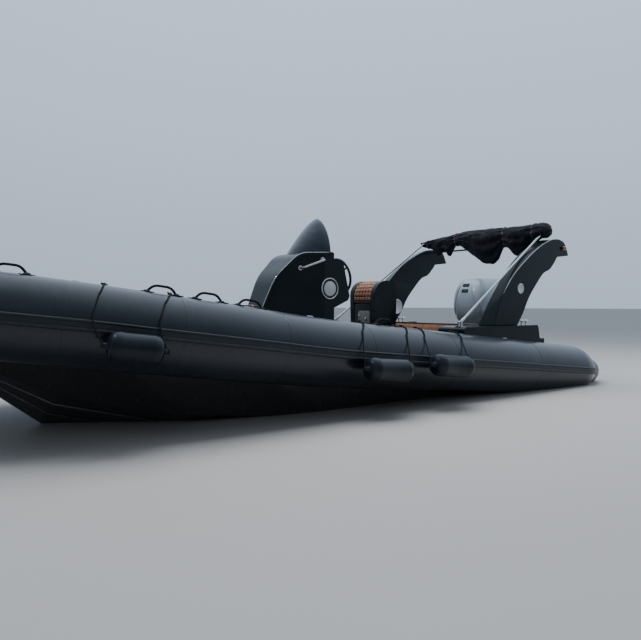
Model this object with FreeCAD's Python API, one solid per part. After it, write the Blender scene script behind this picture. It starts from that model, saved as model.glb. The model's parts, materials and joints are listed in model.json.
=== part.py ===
import FreeCAD
import Part
import math
import os

V = FreeCAD.Vector

# Rigid inflatable boat, in millimetres. +X is forward, +Y is port, +Z is up.
# The origin is on the centreline at the aft face of the transom, at the waterline.

# General clearances
SEAT_GAP = 0.3
PIN_GAP = 0.8
RUN_GAP = 6.0
FAR = 9000.0
FACE_GAP = 1.0
OVERRUN = 5.0

# Buoyancy collar: the tube's axis, seen from above and from the side
TUBE_R = 280.0
TUBE_Y = 1100.0
TUBE_STERN_X = -680.0
STERN_DOME = 160.0
DOME_RIM = ((-0.1, 1.0), (0.0, 1.0), (0.42, 0.94), (0.80, 0.74), (1.0, 0.38))
AXIS_Z = 195.0
AFT_SLOPE = 0.0988
BREAK_X = 3300.0
BOW_SLOPE = 0.138
SHOULDER = (4350.0, TUBE_Y)
CHEEK = (5450.0, 940.0)
BROW = (6100.0, 520.0)
NOSE_X = 6360.0
SHOULDER_TANGENT = 400.0
CHEEK_TANGENT = 330.0
BROW_TANGENT = 300.0
NOSE_TANGENT = 250.0
SPLIT_AFT_X = 1900.0
SPLIT_BOW_X = 3800.0

# Roundness: the turn at a mitre in degrees, and the flat sides of bars, ropes and floats
COLLAR_MITRE = 17.7
BAR_MITRE = 32.0
BAR_SIDES = 8
ROPE_SIDES = 6
FLOAT_SIDES = 20

# Rubbing strake along the outside of the collar
STRAKE_H = 74.0
STRAKE_T = 26.0
STRAKE_BAND = 14.0
STRAKE_BEAD = 16.0
STRAKE_LIFT = 6.0

# Hull sections, from the transom to the stem
STATION_X, KEEL_Z, CHINE_Y, CHINE_Z, SHEER_Y = range(5)
HULL_SECTIONS = (
    (0.0, -420.0, 850.0, -70.0, 975.0),
    (3000.0, -400.0, 840.0, -40.0, 975.0),
    (4300.0, -280.0, 700.0, 70.0, 950.0),
    (5184.0, 0.0, 460.0, 270.0, 800.0),
    (5800.0, 481.0, 190.0, 560.0, 440.0),
    (6140.0, 746.0, 40.0, 770.0, 150.0),
)
CHINE_FLAT = 45.0
CHINE_DROP = 6.0
RAIL_SHARES = (0.36, 0.68)
RAIL_W = (34.0, 34.0, 30.0, 20.0, 9.0, 4.0)
SHEER_DROP = 20.0
SOLE_Z = 150.0
SOLE_PANEL = 12.0
COCKPIT_Y = 765.0
COCKPIT_TAPER_X = 3600.0
COCKPIT_END_X = 4500.0
COCKPIT_END_Y = 610.0
SOLE_MARGIN = 4.0

# Transom board
TRANSOM_T = 60.0
TRANSOM_REACH = TUBE_Y
TRANSOM_TOP_Z = AXIS_Z + TUBE_R * 0.84
WELL_Z = 240.0
WELL_Y = 400.0
WELL_R = 90.0

# Bow locker, its lid and the lid's hinge
LOCKER_X0 = 4640.0
LOCKER_X1 = 5240.0
LOCKER_Y0 = 340.0
LOCKER_Y1 = 250.0
LOCKER_FLOOR_Z = 400.0
LID_LAP = 45.0
LID_T = 32.0
LOCKER_CORNER_R = 40.0
LID_CORNER_R = 60.0
LID_HINGE_Y = 150.0

# Butt hinges of the lids
HINGE_R = 9.0
HINGE_PIN_R = 4.0
HINGE_L = 50.0
HINGE_END_L = 30.0
HINGE_LEAF_T = 3.0
HINGE_LIFT = 1.0

# Console, seen from the side
CONSOLE_Y = 262.0
CONSOLE_TOP_Z = 1436.0
CONSOLE_AFT_X = 2480.0
CONSOLE_FOOT_X = 3340.0
CONSOLE_KNEE = (3269.0, 847.0)
CONSOLE_BROW = (3125.0, 1180.0)
CONSOLE_CROWN = (2870.0, 1420.0)
CONSOLE_TAPER_X = 2600.0
CONSOLE_NOSE_Y = 130.0
CONSOLE_RIM = 26.0
CONSOLE_RECESS = 7.0
CONSOLE_BROW_R = 500.0
CONSOLE_CROWN_R = 260.0
CONSOLE_EDGE_R = 30.0
FRONT_SEAT_AFT_X = 2780.0
FRONT_SEAT_X = 3560.0
FRONT_SEAT_Z = 640.0
FRONT_SEAT_Y = 215.0
DASH_TOP = (2350.0, 1360.0)
DASH_FOOT = (2262.0, 1000.0)
DASH_Y = 238.0
DASH_IN = 60.0
DASH_CORNER_R = 26.0
DASH_UNDER = (2282.0, 960.0)
DASH_UNDER_R = 18.0
DASH_ROOT_Z = 850.0

# Windscreen, a tinted hood that rises to a point over the console
SCREEN_FRONT_X = 2868.0
SCREEN_AFT_X = 2505.0
SCREEN_FOOT_Z = 1385.0
SCREEN_TOP_Z = 1797.0
SCREEN_Y = 248.0
SCREEN_LEVELS = (0.0, 0.3, 0.55, 0.75, 0.9, 0.985)
SCREEN_BELLY = 1.75
SCREEN_POINT = 0.72
SCREEN_TIP_Y = 4.0
SCREEN_NOSE_STEPS = 8
SCREEN_T = 8.0

# Handle on the port side of the console
HANDLE_R = 13.0
HANDLE_STAND = 55.0
HANDLE_BEND = 34.0
HANDLE_PLATE_R = 26.0
HANDLE_PLATE_T = 10.0
HANDLE_AFT = (2625.0, 1353.0)
HANDLE_FRONT = (2858.0, 1267.0)

# Steering wheel
WHEEL_R = 178.0
WHEEL_RIM_R = 14.0
WHEEL_STAND = 105.0
WHEEL_Z = 1190.0
WHEEL_HUB_R = 42.0
WHEEL_SHAFT_R = 14.0
WHEEL_SHAFT_IN = 60.0
SHAFT_GAP = 0.5
WHEEL_SPOKES = 3
WHEEL_RIM_STEPS = 18
WHEEL_SPOKE_R = 10.0
WHEEL_HUB_BACK = 24.0
WHEEL_HUB_FRONT = 16.0

# Throttle binnacle and lever, on the starboard side of the dash
THROTTLE_Y = 175.0
THROTTLE_X = 2415.0
THROTTLE_W = 60.0
THROTTLE_L = 105.0
THROTTLE_H = 46.0
LEVER_H = 150.0
LEVER_R = 9.0
LEVER_IN = 10.0
LEVER_LEAN = 20.0
GRIP_L = 64.0
GRIP_R = 14.0
THROTTLE_CHAMFER = 12.0

# Leaning pod
POD_AFT_X = 1560.0
POD_FRONT_X = 1880.0
POD_Y = 200.0
POD_TOP_Z = 1172.0
POD_CUSHION_Z = 950.0
POD_CHEEK = 58.0
POD_FRONT_R = 160.0
POD_AFT_R = 60.0
POD_TAPER = 30.0
POD_CORE_INSET = 36.0

# Stern bench
BENCH_AFT_X = 650.0
BENCH_FRONT_X = 1100.0
BENCH_Y = 700.0
BENCH_TOP_Z = 470.0
BENCH_WALL = 18.0
BENCH_HINGE_Y = 480.0
SEAT_T = 84.0
BACKREST_T = 92.0
BACKREST_TOP_Z = 700.0
BACKREST_LEAN = 12.0
CUSHION_FOOT_R = 12.0
CUSHION_NOSE_R = 30.0

# Base mouldings that carry the arch on the collar
BASE_AFT_X = 30.0
BASE_STEP_X = 235.0
BASE_FRONT_X = 1500.0
BASE_LAP = 72.0
BASE_IN_Y = TUBE_Y - TUBE_R - BASE_LAP
BASE_OUT_Y = 1085.0
BASE_TOP_Z = 690.0
BASE_STEP_Z = 540.0
BASE_FOOT_Z = 210.0
BASE_CORNER_R = 40.0
BASE_STEP_R = 20.0
BASE_LEAN = 30.0

# Arch legs, seen from the side, and the crossbar between their heads
LEG_IN_Y = 880.0
LEG_OUT_Y = 1000.0
LEG_FRONT = (
    (1030.0, 908.0, BASE_TOP_Z),
    (925.0, 852.0, 846.0),
    (806.0, 768.0, 1007.0),
    (600.0, 566.0, 1242.0),
    (375.0, 300.0, 1440.0),
    (130.0, 76.0, 1574.0),
    (-60.0, -110.0, 1650.0),
    (-200.0, -215.0, 1672.0),
    (-345.0, -345.0, 1668.0),
    (-435.0, -430.0, 1626.0),
    (-505.0, -505.0, 1494.0),
)
LEG_REAR = (
    (-270.0, 1468.0),
    (-200.0, 1388.0),
    (-115.0, 1317.0),
    (10.0, 1266.0),
    (146.0, 1140.0),
    (280.0, 995.0),
    (385.0, 830.0),
    (493.0, BASE_TOP_Z),
)
LEG_DISC_AT = (445.0, 1092.0)
LEG_DISC_R = 56.0
LEG_DISC_T = 5.0
CROSSBAR_X = -320.0
CROSSBAR_Z = 1645.0
CROSSBAR_R = 12.0

# Side lights on the heads of the arch
LIGHT_X = -385.0
LIGHT_Z = 1575.0
LIGHT_L = 74.0
LIGHT_H = 46.0
LIGHT_T = 24.0
LIGHT_CHAMFER = 9.0

# Folding canopy bow and the canopy bundled on it
BOW_R = 12.5
BOW_FOOT_X = 1440.0
BOW_FOOT_Z = BASE_TOP_Z + 42.0
BOW_FOOT_Y = 985.0
BOW_TOP_X = -120.0
BOW_TOP_Z = 1775.0
BOW_TOP_Y = 925.0
BOW_BEND = 90.0
BOW_EYE_R = 18.1
BUNDLE_Y = 1005.0
BUNDLE_SIDES = 10
BUNDLE_SQUEEZE = 0.72
BUNDLE_ROWS = (
    (-1.0, 34.0, 6.0),
    (-0.83, 62.0, 22.0),
    (-0.68, 116.0, 66.0),
    (-0.56, 94.0, 38.0),
    (-0.48, 128.0, 68.0),
    (-0.40, 78.0, 6.0),
    (-0.28, 88.0, 8.0),
    (-0.05, 160.0, 72.0),
    (0.19, 206.0, 116.0),
    (0.31, 160.0, 74.0),
    (0.39, 100.0, 18.0),
    (0.56, 168.0, 86.0),
    (0.78, 138.0, 50.0),
    (0.86, 92.0, 0.0),
    (0.95, 92.0, -2.0),
    (1.0, 66.0, -4.0),
)
FOOT_PLATE_L = 72.0
FOOT_PLATE_T = 7.0
FOOT_EAR_L = 30.0
FOOT_EAR_T = 7.0
FOOT_EAR_GAP = 1.6
FOOT_PIN_R = 5.0

# Outboard: mounting, cowl, leg and gearcase
TILT_X = -78.0
TILT_Z = 400.0
TILT_PIN_R = 15.0
CLAMP_IN_Y = 115.0
CLAMP_T = 26.0
SWIVEL_X = -175.0
SWIVEL_R = 46.0
SWIVEL_PIN_R = 20.0
SWIVEL_FOOT_Z = 90.0
SWIVEL_TOP_Z = 455.0
CLAMP_FOOT_Z = -60.0
CLAMP_FOOT_T = 44.0
CLAMP_NECK = 60.0
CLAMP_HEAD = 34.0
CLAMP_HEAD_R = 24.0
SWIVEL_SIDE_GAP = 0.6
BARREL_WALL = 16.0
WEB_ROOT = 28.0
WEB_RISE = 60.0
WEB_Y = 37.0
YOKE_T = 52.0
COWL_AFT, COWL_FRONT, COWL_HALF, COWL_ROUND, COWL_AT_Z = range(5)
COWL_SECTIONS = (
    (-470.0, 90.0, 165.0, 110.0, 660.0),
    (-510.0, 118.0, 196.0, 125.0, 690.0),
    (-570.0, 160.0, 238.0, 150.0, 770.0),
    (-596.0, 184.0, 262.0, 165.0, 930.0),
    (-588.0, 172.0, 240.0, 160.0, 1070.0),
    (-555.0, 130.0, 195.0, 140.0, 1160.0),
    (-500.0, 62.0, 128.0, 110.0, 1225.0),
    (-430.0, -10.0, 62.0, 60.0, 1256.0),
)
COWL_CORNER = 4
COWL_SLOT_Z = (1085.0, 1140.0)
COWL_SLOT_Y = 62.0
COWL_SLOT_W = 62.0
COWL_SLOT_H = 30.0
COWL_SLOT_DEEP = 14.0
LEG_TOP_Z = COWL_SECTIONS[0][4] - SEAT_GAP
PLATE_Z = -430.0
PLATE_T = 12.0
PLATE_AFT_X = -640.0
PLATE_SIDE_X = -230.0
PLATE_NOSE_X = -95.0
PLATE_Y = 95.0
PLATE_R = 64.0
YOKE_ROOT_X = -300.0
YOKE_ROOT_Y = 70.0
YOKE_REACH = 48.0
YOKE_R = 40.0
STRUT_AFT_X = -428.0
STRUT_Y = 14.0
SKEG_FRONT_X = -320.0
SKEG_AFT_X = -410.0
SKEG_R = 30.0
SHAFT_R = 14.0
COLUMN_FRONT_X = -238.0
COLUMN_SECTIONS = (
    (-440.0, COLUMN_FRONT_X, 92.0, 60.0, LEG_TOP_Z),
    (-436.0, COLUMN_FRONT_X, 84.0, 55.0, 480.0),
    (-420.0, COLUMN_FRONT_X, 62.0, 45.0, 200.0),
    (-400.0, COLUMN_FRONT_X, 46.0, 30.0, PLATE_Z),
)
SHAFT_Z = -625.0
GEARCASE_R = 66.0
GEARCASE_NOSE_X = -60.0
GEARCASE_NOSE_L = 150.0
GEARCASE_NOSE_STEPS = (0.5, 0.8, 0.96)
GEARCASE_SIDES = 14
GEARCASE_TAIL_X = -530.0
SKEG_Z = -860.0
PROP_R = 178.0
PROP_HUB_R = 48.0
PROP_L = 120.0
PROP_BLADES = 3
PROP_PITCH = 32.0
BLADE_ROOT = 38.0
BLADE_REACH = 78.0
BLADE_T = 9.0

# Fenders hung along the port side: middle, length and drop of each
FENDERS = (
    (4915.0, 420.0, 100.0),
    (2895.0, 540.0, 95.0),
    (2160.0, 540.0, 30.0),
)
FENDER_R = 96.0
FENDER_SIDES = 16
FENDER_EYE_R = 20.0
FENDER_EYE_L = 36.0
FENDER_GAP = 2.0
LINE_RUNS = 4
LINE_R = 5.0
LINE_GAP = 0.9

# Deck fittings
CLEAT_L = 190.0
CLEAT_H = 46.0
CLEAT_R = 11.0
CLEAT_POST_X = 38.0
CLEAT_X = 330.0
CLEAT_Y = 960.0
LOOP_X = (5610.0, 4700.0, 4360.0, 4020.0, 2630.0)
LOOP_L = 210.0
LOOP_TOP_L = 115.0
LOOP_H = 50.0
LOOP_R = 9.0
EYE_X = 5560.0
EYE_R = 34.0
EYE_BAR_R = 8.0
EYE_OUT = 54.4
EYE_BEND = 30.6


def axis_z(x):
    """Height of the collar's axis at a station."""
    if x < BREAK_X:
        return AXIS_Z + AFT_SLOPE * x
    return AXIS_Z + AFT_SLOPE * BREAK_X + BOW_SLOPE * (x - BREAK_X)


def on_axis(x, y):
    return V(x, y, axis_z(x))


def corner_arc(before, point, after, tangent):
    """Start, middle and end of the arc that rounds a corner of a path."""
    way_in = (point - before).normalize()
    way_out = (after - point).normalize()
    start = point - way_in * tangent
    end = point + way_out * tangent
    half_turn = way_in.getAngle(way_out) / 2.0
    radius = tangent / math.tan(half_turn)
    inward = (way_out - way_in).normalize()
    centre = point + inward * (radius / math.cos(half_turn))
    return start, centre - inward * radius, end


def run_points(points, tangents, mitre):
    """Corners of a path of straight runs, where every rounded bend is a few equal mitres."""
    corners = [points[0]]
    for index, tangent in enumerate(tangents, start=1):
        before, point, after = points[index - 1], points[index], points[index + 1]
        way_in = (point - before).normalize()
        way_out = (after - point).normalize()
        turn = way_in.getAngle(way_out)
        count = max(1, round(math.degrees(turn) / mitre))
        step = turn / count
        radius = tangent / math.tan(turn / 2.0)
        start = point - way_in * tangent
        inward = (way_out - way_out.dot(way_in) * way_in).normalize()
        centre = start + inward * radius
        for number in range(count):
            angle = step * (number + 0.5)
            spoke = way_in * math.sin(angle) - inward * math.cos(angle)
            corners.append(centre + spoke * (radius / math.cos(step / 2.0)))
    corners.append(points[-1])
    return corners


def closed_outline(corners):
    """Closed wire through corners, each a point and the radius of its rounding."""
    count = len(corners)
    arcs = []
    for index in range(count):
        before = corners[index - 1][0]
        point, radius = corners[index]
        after = corners[(index + 1) % count][0]
        if radius:
            turn = (point - before).getAngle(after - point)
            arcs.append(corner_arc(before, point, after, radius * math.tan(turn / 2.0)))
        else:
            arcs.append((point, None, point))
    edges = []
    for index in range(count):
        start, middle, end = arcs[index]
        if middle:
            edges.append(Part.Arc(start, middle, end).toShape())
        following = arcs[(index + 1) % count][0]
        if end.distanceToPoint(following) > 0.001:
            edges.append(Part.LineSegment(end, following).toShape())
    return Part.Wire(edges)


def side_prism(outline, y0, y1):
    """Solid between two y planes, from corners given as x, z and radius."""
    wire = closed_outline([(V(x, y0, z), radius) for x, z, radius in outline])
    return Part.Face(wire).extrude(V(0, y1 - y0, 0))


def plan_prism(outline, z0, z1):
    """Solid between two levels, from corners given as x, y and radius."""
    wire = closed_outline([(V(x, y, z0), radius) for x, y, radius in outline])
    return Part.Face(wire).extrude(V(0, 0, z1 - z0))


def end_prism(outline, x0, x1):
    """Solid between two stations, from corners given as y, z and radius."""
    wire = closed_outline([(V(x0, y, z), radius) for y, z, radius in outline])
    return Part.Face(wire).extrude(V(x1 - x0, 0, 0))


def box(x0, x1, y0, y1, z0, z1):
    return Part.makeBox(x1 - x0, y1 - y0, z1 - z0, V(x0, y0, z0))


def rod(start, end, radius):
    return Part.makeCylinder(radius, start.distanceToPoint(end), start, end - start)


def swept(points, section):
    """Solid of one section carried along straight runs, mitred at each corner."""
    return Part.makePolygon(points).makePipeShell([section], True, False, 1)


def round_section(points, radius):
    return Part.Wire(Part.makeCircle(radius, points[0], points[1] - points[0]))


def round_bar(points, radius):
    return swept(points, round_section(points, radius))


def ring_about(centre, along, radius, sides):
    """Corners of a regular ring square to a direction."""
    side = along.cross(V(0, 0, 1))
    if side.Length < 0.01:
        side = V(0, 1, 0)
    side.normalize()
    other = along.cross(side)
    ring = []
    for index in range(sides):
        angle = 2.0 * math.pi * (index + 0.5) / sides
        ring.append(centre + side * (radius * math.cos(angle)) + other * (radius * math.sin(angle)))
    return ring


def bar(points, radius, sides=BAR_SIDES):
    """Bar or rope of a few flat sides, about as thick as a round one."""
    ring = ring_about(points[0], (points[1] - points[0]).normalize(), radius, sides)
    return swept(points, Part.makePolygon(ring + [ring[0]]))


def panels(a, b, c, d):
    """Flat panel between two matching edges, or two where the four corners don't lie flat."""
    normal = (b - a).cross(d - a)
    if abs(normal.normalize().dot(c - a)) < 0.001:
        return [Part.Face(Part.makePolygon([a, b, c, d, a]))]
    return [Part.Face(Part.makePolygon([a, b, c, a])), Part.Face(Part.makePolygon([a, c, d, a]))]


def panelled(rings):
    """Solid with flat panels between rings of matching corners."""
    faces = [Part.Face(Part.makePolygon(ring + [ring[0]])) for ring in (rings[0], rings[-1])]
    for ring, following in zip(rings, rings[1:]):
        for index in range(len(ring)):
            after = (index + 1) % len(ring)
            faces += panels(ring[index], ring[after], following[after], following[index])
    return closed_solid(faces)


def turned(centre, along, rim, sides):
    """Round body of flat panels, from reaches along its axis and the radius at each."""
    return panelled([ring_about(centre + along * reach, along, radius, sides) for reach, radius in rim])


def closed_solid(faces):
    shell = Part.makeShell(faces)
    shell.sewShape()
    solid = Part.makeSolid(shell)
    if solid.Volume < 0.0:
        solid.reverse()
    return solid


def mirrored(shape):
    return shape.mirror(V(0, 0, 0), V(0, 1, 0))


def fused(shapes):
    return shapes[0].multiFuse(shapes[1:]).removeSplitter()


def butt_hinge(x, y, z):
    """Knuckles of a hinge whose axis runs across the boat: the moving one, then the fixed."""
    half = HINGE_L / 2.0
    moving = rod(V(x, y - half, z), V(x, y + half, z), HINGE_R)
    moving = moving.cut(rod(V(x, y - HINGE_L, z), V(x, y + HINGE_L, z), HINGE_PIN_R + PIN_GAP))
    near = half + PIN_GAP
    far = near + HINGE_END_L
    ends = [rod(V(x, y + sign * near, z), V(x, y + sign * far, z), HINGE_R) for sign in (1.0, -1.0)]
    pin = rod(V(x, y - far, z), V(x, y + far, z), HINGE_PIN_R)
    return moving, fused(ends + [pin])


# Collar


def collar_points():
    """Corners of the port half of the axis, from the stern to the nose."""
    return [
        on_axis(TUBE_STERN_X, TUBE_Y),
        on_axis(BREAK_X, TUBE_Y),
        on_axis(*SHOULDER),
        on_axis(*CHEEK),
        on_axis(*BROW),
        on_axis(NOSE_X, 0.0),
    ]


def starboard(points):
    return [V(point.x, -point.y, point.z) for point in points]


def side_corners(start_x):
    """Corners of the axis along the side, from a station to the split at the bow."""
    return [on_axis(start_x, TUBE_Y), on_axis(BREAK_X, TUBE_Y), on_axis(SPLIT_BOW_X, TUBE_Y)]


def nose_corners():
    port = [on_axis(SPLIT_BOW_X, TUBE_Y)] + collar_points()[2:]
    half = [SHOULDER_TANGENT, CHEEK_TANGENT, BROW_TANGENT]
    points = port + starboard(port[:-1])[::-1]
    return run_points(points, half + [NOSE_TANGENT] + half[::-1], COLLAR_MITRE)


def stern_dome(radius):
    """Blunt end of a tube, welded from bands of narrowing panels and a disc."""
    centre = on_axis(TUBE_STERN_X, TUBE_Y)
    aft = (centre - on_axis(BREAK_X, TUBE_Y)).normalize()
    rim = [(STERN_DOME * reach, radius * share) for reach, share in DOME_RIM]
    return turned(centre, aft, rim, FLOAT_SIDES)


def collar_cutter():
    """The collar in three bodies, a seat's gap larger, to cut seats with."""
    radius = TUBE_R + SEAT_GAP
    side = fused([round_bar(side_corners(TUBE_STERN_X), radius), stern_dome(radius)])
    return [side, round_bar(nose_corners(), radius), mirrored(side)]


def make_collar():
    tube = rod(on_axis(TUBE_STERN_X, TUBE_Y), on_axis(SPLIT_AFT_X, TUBE_Y), TUBE_R)
    aft = fused([tube, stern_dome(TUBE_R)])
    shoulder = round_bar(side_corners(SPLIT_AFT_X), TUBE_R)
    return {
        "collar_port_aft": aft,
        "collar_port_forward": shoulder,
        "collar_nose": round_bar(nose_corners(), TUBE_R),
        "collar_starboard_forward": mirrored(shoulder),
        "collar_starboard_aft": mirrored(aft),
    }


def strake_along(points):
    """Extruded rubber strake: a flat band between two beads, the lower one fatter."""
    along = (points[1] - points[0]).normalize()
    out = V(0, 0, 1).cross(along).normalize()
    up = along.cross(out)
    half = STRAKE_H / 2.0
    section = (
        (-STRAKE_BAND, -half),
        (STRAKE_T * 0.6, -half),
        (STRAKE_T, -half + STRAKE_BEAD * 0.5),
        (STRAKE_T, -half + STRAKE_BEAD),
        (STRAKE_BAND, -half + STRAKE_BEAD * 1.5),
        (STRAKE_BAND, half - STRAKE_BEAD),
        (STRAKE_T * 0.8, half - STRAKE_BEAD * 0.5),
        (STRAKE_BAND, half),
        (-STRAKE_BAND, half),
    )
    ring = [points[0] + out * (TUBE_R + reach) + up * (rise + STRAKE_LIFT) for reach, rise in section]
    return swept(points, Part.makePolygon(ring + [ring[0]]))


def make_strakes():
    side_path = side_corners(TUBE_STERN_X)
    aft = strake_along(side_path).cut(round_bar(side_path, TUBE_R))
    nose = strake_along(nose_corners()).cut(round_bar(nose_corners(), TUBE_R))
    return {
        "strake_port": aft,
        "strake_nose": nose,
        "strake_starboard": mirrored(aft),
    }


# Hull


def hull_section(row, rail):
    """Corners of a section: keel, two spray rails, chine flat and sheer on each side."""
    x = row[STATION_X]
    keel_z = row[KEEL_Z]
    chine_y = row[CHINE_Y]
    chine_z = row[CHINE_Z]
    rise = (chine_z - keel_z) / chine_y
    half = []
    for share in RAIL_SHARES:
        y = chine_y * share
        half.append((y, keel_z + rise * y))
        half.append((y + rail, keel_z + rise * y))
        half.append((y + rail, keel_z + rise * (y + rail)))
    half.append((chine_y, chine_z))
    half.append((chine_y + CHINE_FLAT, chine_z - CHINE_DROP))
    half.append((row[SHEER_Y], axis_z(x) - SHEER_DROP))
    port = [V(x, y, z) for y, z in half]
    other = [V(x, -y, z) for y, z in half[::-1]]
    return [V(x, 0, keel_z)] + port + other


def cockpit_prism(aft_x, inset, z0, z1):
    """Cockpit seen from above: parallel sides that close in towards the bow."""
    port = (
        (aft_x, COCKPIT_Y - inset, 0.0),
        (COCKPIT_TAPER_X, COCKPIT_Y - inset, 0.0),
        (COCKPIT_END_X - inset, COCKPIT_END_Y - inset, 0.0),
    )
    other = tuple((x, -y, radius) for x, y, radius in port[::-1])
    return plan_prism(port + other, z0, z1)


def make_hull(seats):
    hull = panelled([hull_section(row, rail) for row, rail in zip(HULL_SECTIONS, RAIL_W)])
    cockpit = cockpit_prism(-OVERRUN, 0.0, SOLE_Z, FAR)
    locker = plan_prism(
        (
            (LOCKER_X0, -LOCKER_Y0, LOCKER_CORNER_R),
            (LOCKER_X1, -LOCKER_Y1, LOCKER_CORNER_R),
            (LOCKER_X1, LOCKER_Y1, LOCKER_CORNER_R),
            (LOCKER_X0, LOCKER_Y0, LOCKER_CORNER_R),
        ),
        LOCKER_FLOOR_Z,
        FAR,
    )
    return fused([hull.cut(seats + [cockpit, locker])] + lid_hinge_seats())


def make_sole(seats):
    panel = cockpit_prism(TRANSOM_T + SOLE_MARGIN, SOLE_MARGIN, SOLE_Z, SOLE_Z + SOLE_PANEL)
    return panel.cut(seats)


def make_transom(seats, hull):
    """Board across the stern, with a rounded well cut down for the outboard."""
    top = TRANSOM_TOP_Z
    outline = (
        (-TRANSOM_REACH, SOLE_Z, 0.0),
        (TRANSOM_REACH, SOLE_Z, 0.0),
        (TRANSOM_REACH, top, 0.0),
        (WELL_Y + WELL_R, top, WELL_R * 0.6),
        (WELL_Y, WELL_Z, WELL_R),
        (-WELL_Y, WELL_Z, WELL_R),
        (-WELL_Y - WELL_R, top, WELL_R * 0.6),
        (-TRANSOM_REACH, top, 0.0),
    )
    board = end_prism(outline, 0.0, TRANSOM_T)
    return board.cut(seats + [hull])


def deck_plane_z(x):
    """Height of the foredeck, which follows the collar's slope."""
    return axis_z(x) - SHEER_DROP


def lid_hinge_point():
    x = LOCKER_X1 + LID_LAP + HINGE_R + HINGE_LIFT
    return V(x, 0.0, deck_plane_z(x) + HINGE_R + HINGE_LIFT)


def make_locker_lid():
    """Flat lid that laps the locker's rim, with its hinge knuckles in front."""
    x0 = LOCKER_X0 - LID_LAP
    x1 = LOCKER_X1 + LID_LAP
    outline = (
        (x0, -LOCKER_Y0 - LID_LAP, LID_CORNER_R),
        (x1, -LOCKER_Y1 - LID_LAP, LID_CORNER_R),
        (x1, LOCKER_Y1 + LID_LAP, LID_CORNER_R),
        (x0, LOCKER_Y0 + LID_LAP, LID_CORNER_R),
    )
    lid = plan_prism(outline, 0.0, FAR)
    slab = side_prism(
        (
            (x0 - 50.0, deck_plane_z(x0 - 50.0) + SEAT_GAP, 0.0),
            (x1 + 50.0, deck_plane_z(x1 + 50.0) + SEAT_GAP, 0.0),
            (x1 + 50.0, deck_plane_z(x1 + 50.0) + LID_T, 0.0),
            (x0 - 50.0, deck_plane_z(x0 - 50.0) + LID_T, 0.0),
        ),
        -LOCKER_Y0 * 2.0,
        LOCKER_Y0 * 2.0,
    )
    pieces = [lid.common(slab)]
    at = lid_hinge_point()
    for sign in (1.0, -1.0):
        y = sign * LID_HINGE_Y
        half = HINGE_L / 2.0
        leaf = box(at.x - HINGE_R * 2.0, at.x - HINGE_PIN_R - HINGE_LIFT, y - half, y + half,
                   at.z, at.z + HINGE_LEAF_T)
        pieces += [leaf, butt_hinge(at.x, y, at.z)[0]]
    return fused(pieces)


def lid_hinge_seats():
    """Fixed knuckles of the locker lid, on feet that stand on the foredeck."""
    at = lid_hinge_point()
    pieces = []
    for sign in (1.0, -1.0):
        pieces.append(butt_hinge(at.x, sign * LID_HINGE_Y, at.z)[1])
        for way in (1.0, -1.0):
            near = sign * LID_HINGE_Y + way * (HINGE_L / 2.0 + PIN_GAP)
            far = near + way * HINGE_END_L
            pieces.append(box(at.x - HINGE_PIN_R, at.x + HINGE_PIN_R, min(near, far), max(near, far),
                              at.z - HINGE_R * 2.0, at.z))
    return pieces


def stem_line(x):
    """Point of the stem at a station, and the stem's direction there."""
    for row, following in zip(HULL_SECTIONS, HULL_SECTIONS[1:]):
        if x <= following[STATION_X]:
            break
    low = V(row[STATION_X], 0.0, row[KEEL_Z])
    rise = V(following[STATION_X], 0.0, following[KEEL_Z]) - low
    share = (x - low.x) / rise.x
    return low + rise * share, rise.normalize()


def make_bow_eye(hull):
    """U-bolt on the stem, its two feet against the hull."""
    foot, rise = stem_line(EYE_X)
    out = V(rise.z, 0.0, -rise.x)
    low = foot - rise * EYE_R
    high = foot + rise * EYE_R
    reach = out * EYE_OUT
    root = out * -EYE_BAR_R
    points = [low + root, low + reach, high + reach, high + root]
    bent = bar(run_points(points, [EYE_BEND, EYE_BEND], BAR_MITRE), EYE_BAR_R)
    return bent.cut(hull)


# Console and helm


def dash_normal():
    """Direction straight out of the sloping dash, aft and a little up."""
    face = V(DASH_TOP[0] - DASH_FOOT[0], 0.0, DASH_TOP[1] - DASH_FOOT[1])
    return V(-face.z, 0.0, face.x).normalize()


def wheel_seat():
    """Where the steering shaft leaves the dash."""
    share = (WHEEL_Z - DASH_FOOT[1]) / (DASH_TOP[1] - DASH_FOOT[1])
    return V(DASH_FOOT[0] + share * (DASH_TOP[0] - DASH_FOOT[0]), 0.0, WHEEL_Z)


def console_half(x, half):
    """Half the console's width at a place along it; it narrows towards the nose."""
    slope = (CONSOLE_Y - CONSOLE_NOSE_Y) / (CONSOLE_KNEE[0] - CONSOLE_TAPER_X)
    return half - slope * max(0.0, x - CONSOLE_TAPER_X)


def console_sides(outline, half):
    """Prism of a side outline whose width narrows towards the nose."""
    length = FAR - CONSOLE_TAPER_X
    reach_x = FRONT_SEAT_X
    reach_y = console_half(reach_x, half)
    plan = plan_prism(
        (
            (-length, -half, 0.0),
            (CONSOLE_TAPER_X, -half, 0.0),
            (reach_x, -reach_y, 0.0),
            (reach_x, reach_y, 0.0),
            (CONSOLE_TAPER_X, half, 0.0),
            (-length, half, 0.0),
        ),
        0.0,
        FAR,
    )
    return side_prism(outline, -half, half).common(plan)


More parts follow.
